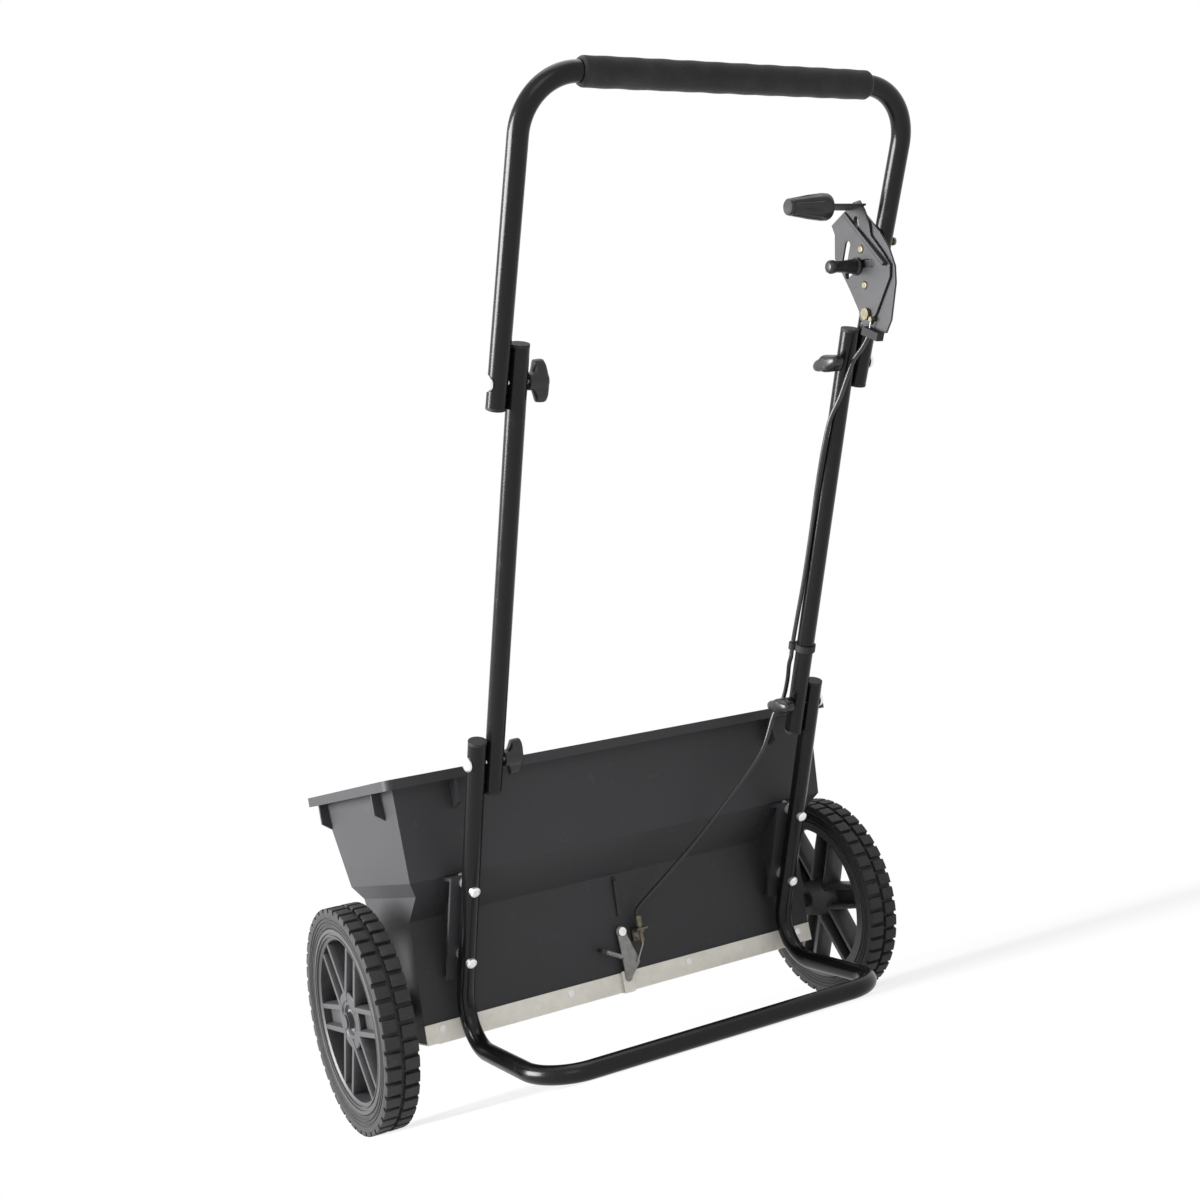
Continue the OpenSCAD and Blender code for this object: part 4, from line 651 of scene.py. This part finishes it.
def smooth(route, n):
    """A Catmull-Rom curve through the route's points, n to each stretch: a cubic in t for each of them."""
    p = np.asarray(route, float)
    before, start, end, after = (q[:, None] for q in (
        np.vstack([p[:1], p[:-2]]), p[:-1], p[1:], np.vstack([p[2:], p[-1:]])))
    t = np.linspace(0, 1, n, endpoint=False)[None, :, None]
    curve = start + 0.5 * ((end - before) * t + (2 * before - 5 * start + 4 * end - after) * t ** 2
                           + (3 * start - before - 3 * end + after) * t ** 3)
    return np.vstack([curve.reshape(-1, 3), p[-1:]])


def tube(path, radius, sides, ref):
    """Rings of this radius round a path: path + radius (u cos a + v sin a), with u square to path and ref."""
    t = np.gradient(path, axis=0)
    u = np.cross(t, ref)
    u /= np.linalg.norm(u, axis=1)[:, None]
    v = np.cross(t, u)
    v /= np.linalg.norm(v, axis=1)[:, None]
    a = np.linspace(0, 2 * math.pi, sides, endpoint=False)[None, :, None]
    return path[:, None] + radius * (u[:, None] * np.cos(a) + v[:, None] * np.sin(a))


casing_r = 0.0025
middle_lean = math.radians(32) + tilt
upper_route = on_leg([
    (198.3, -25.7, 43.6), (198.3, -25.7, 36), (195, -24, 24), (190, -19, 8), (188, -16, -12), (186, -13, -34),
    (182, -8, -60), (181, -6.5, -90), (181.5, -6, -120), (182.5, -6, -150)])
middle_route = np.vstack([upper_route[-1:], turned(lower_fold, middle_lean, np.array([
    (183, 2, 215), (183, 3, 155), (183.4, 6, 110), (183.7, 7.9, 80), (183.7, 7.9, 62)]) / 1000)])
lower_route = np.vstack([
    turned(lower_fold, middle_lean, np.array([
        (183.7, 7.9, 61.6), (183.7, 7.9, 57), (185, 11, 46), (188.5, 14.5, 24), (188, 17, 0),
        (180, 20, -22)]) / 1000),
    turned(axle_centre, tilt, np.array([
        (164, -166, 205), (140, -152, 176), (112, -134, 146), (84, -114, 116), (58, -93, 90), (36, -74, 68),
        (22, -62, 54), (16, -56, 46), (16, -56, 41), (16, -56, 36)]) / 1000)])
runs = {}
for name, route, n in (("cable_upper", upper_route, 14), ("cable_middle", middle_route, 12),
                       ("cable_lower", lower_route, 10)):
    run = skin(name + "_casing", casing, tube(smooth(route, n), casing_r, 16, (1, 0.1, 0.05)), closed=False)
    runs[name] = shade(run, 50)
    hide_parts(name)
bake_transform(runs["cable_upper"])
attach(runs["cable_middle"], "middle_handle")
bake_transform(runs["cable_lower"])

# ---- Crank and spring ----
# A small pressed crank on the rear wall turns the pull of the wire into the slide of the shutter. A spring
# with hooked ends, wound of drawn wire, pulls it shut.

dull_steel, w, at = material("dull pressed steel")
rolled = noise(at, 200, 4, 0.6, (1, 1, 0.2))
stain = ramp(noise(at, 120, 5), (0.4, 0.0), (0.8, 1.0))
close(w, mix(mix((0.30, 0.30, 0.29), (0.20, 0.20, 0.19), stain), (0.10, 0.09, 0.08), rolled * 0.4),
      0.34 + 0.18 * stain, rolled, 0.00003, 0.7)
give(dull_steel, "crank_lever", "axle_washers")

drawn, w, at = material("drawn steel wire")
line = noise(at, 1200, 2, 0.5, (0.2, 0.2, 1))
close(w, mix((0.55, 0.55, 0.54), (0.30, 0.29, 0.28), line), 0.25 + 0.2 * line, line, 0.00002, 0.85)
give(drawn, "lever_wire", "shutter_wire")

# The spring winds 12 times round the line between its two hooks: start + axis + 2.5 (cos a side + sin a up).
start, end = np.array([-9, -52.55, -4.0]), np.array([-36, -52.55, 10.0])
coil_r, coils, spring_wire_r = 2.5, 12, 0.5
length = np.linalg.norm(end - start)
axis = (end - start) / length
side = np.array([0, 1.0, 0])
up = np.cross(axis, side)
s = np.linspace(0, 1, 400)[:, None]
a = 2 * math.pi * coils * s
helix = start + axis * length * (0.16 + 0.68 * s) + coil_r * (np.cos(a) * side + np.sin(a) * up)
path = np.vstack([
    start + 6.4 * side, start + 4.0 * side, start + coil_r * side, helix, end - 2 * axis + coil_r * side])
wound = turned(axle_centre, tilt, tube(path, spring_wire_r, 10, axis + 0.6 * up) / 1000)
spring = skin("return_spring_wire", drawn, wound, closed=False)
put(shade(spring, 50), "chassis", "spring_steel", "return_spring")
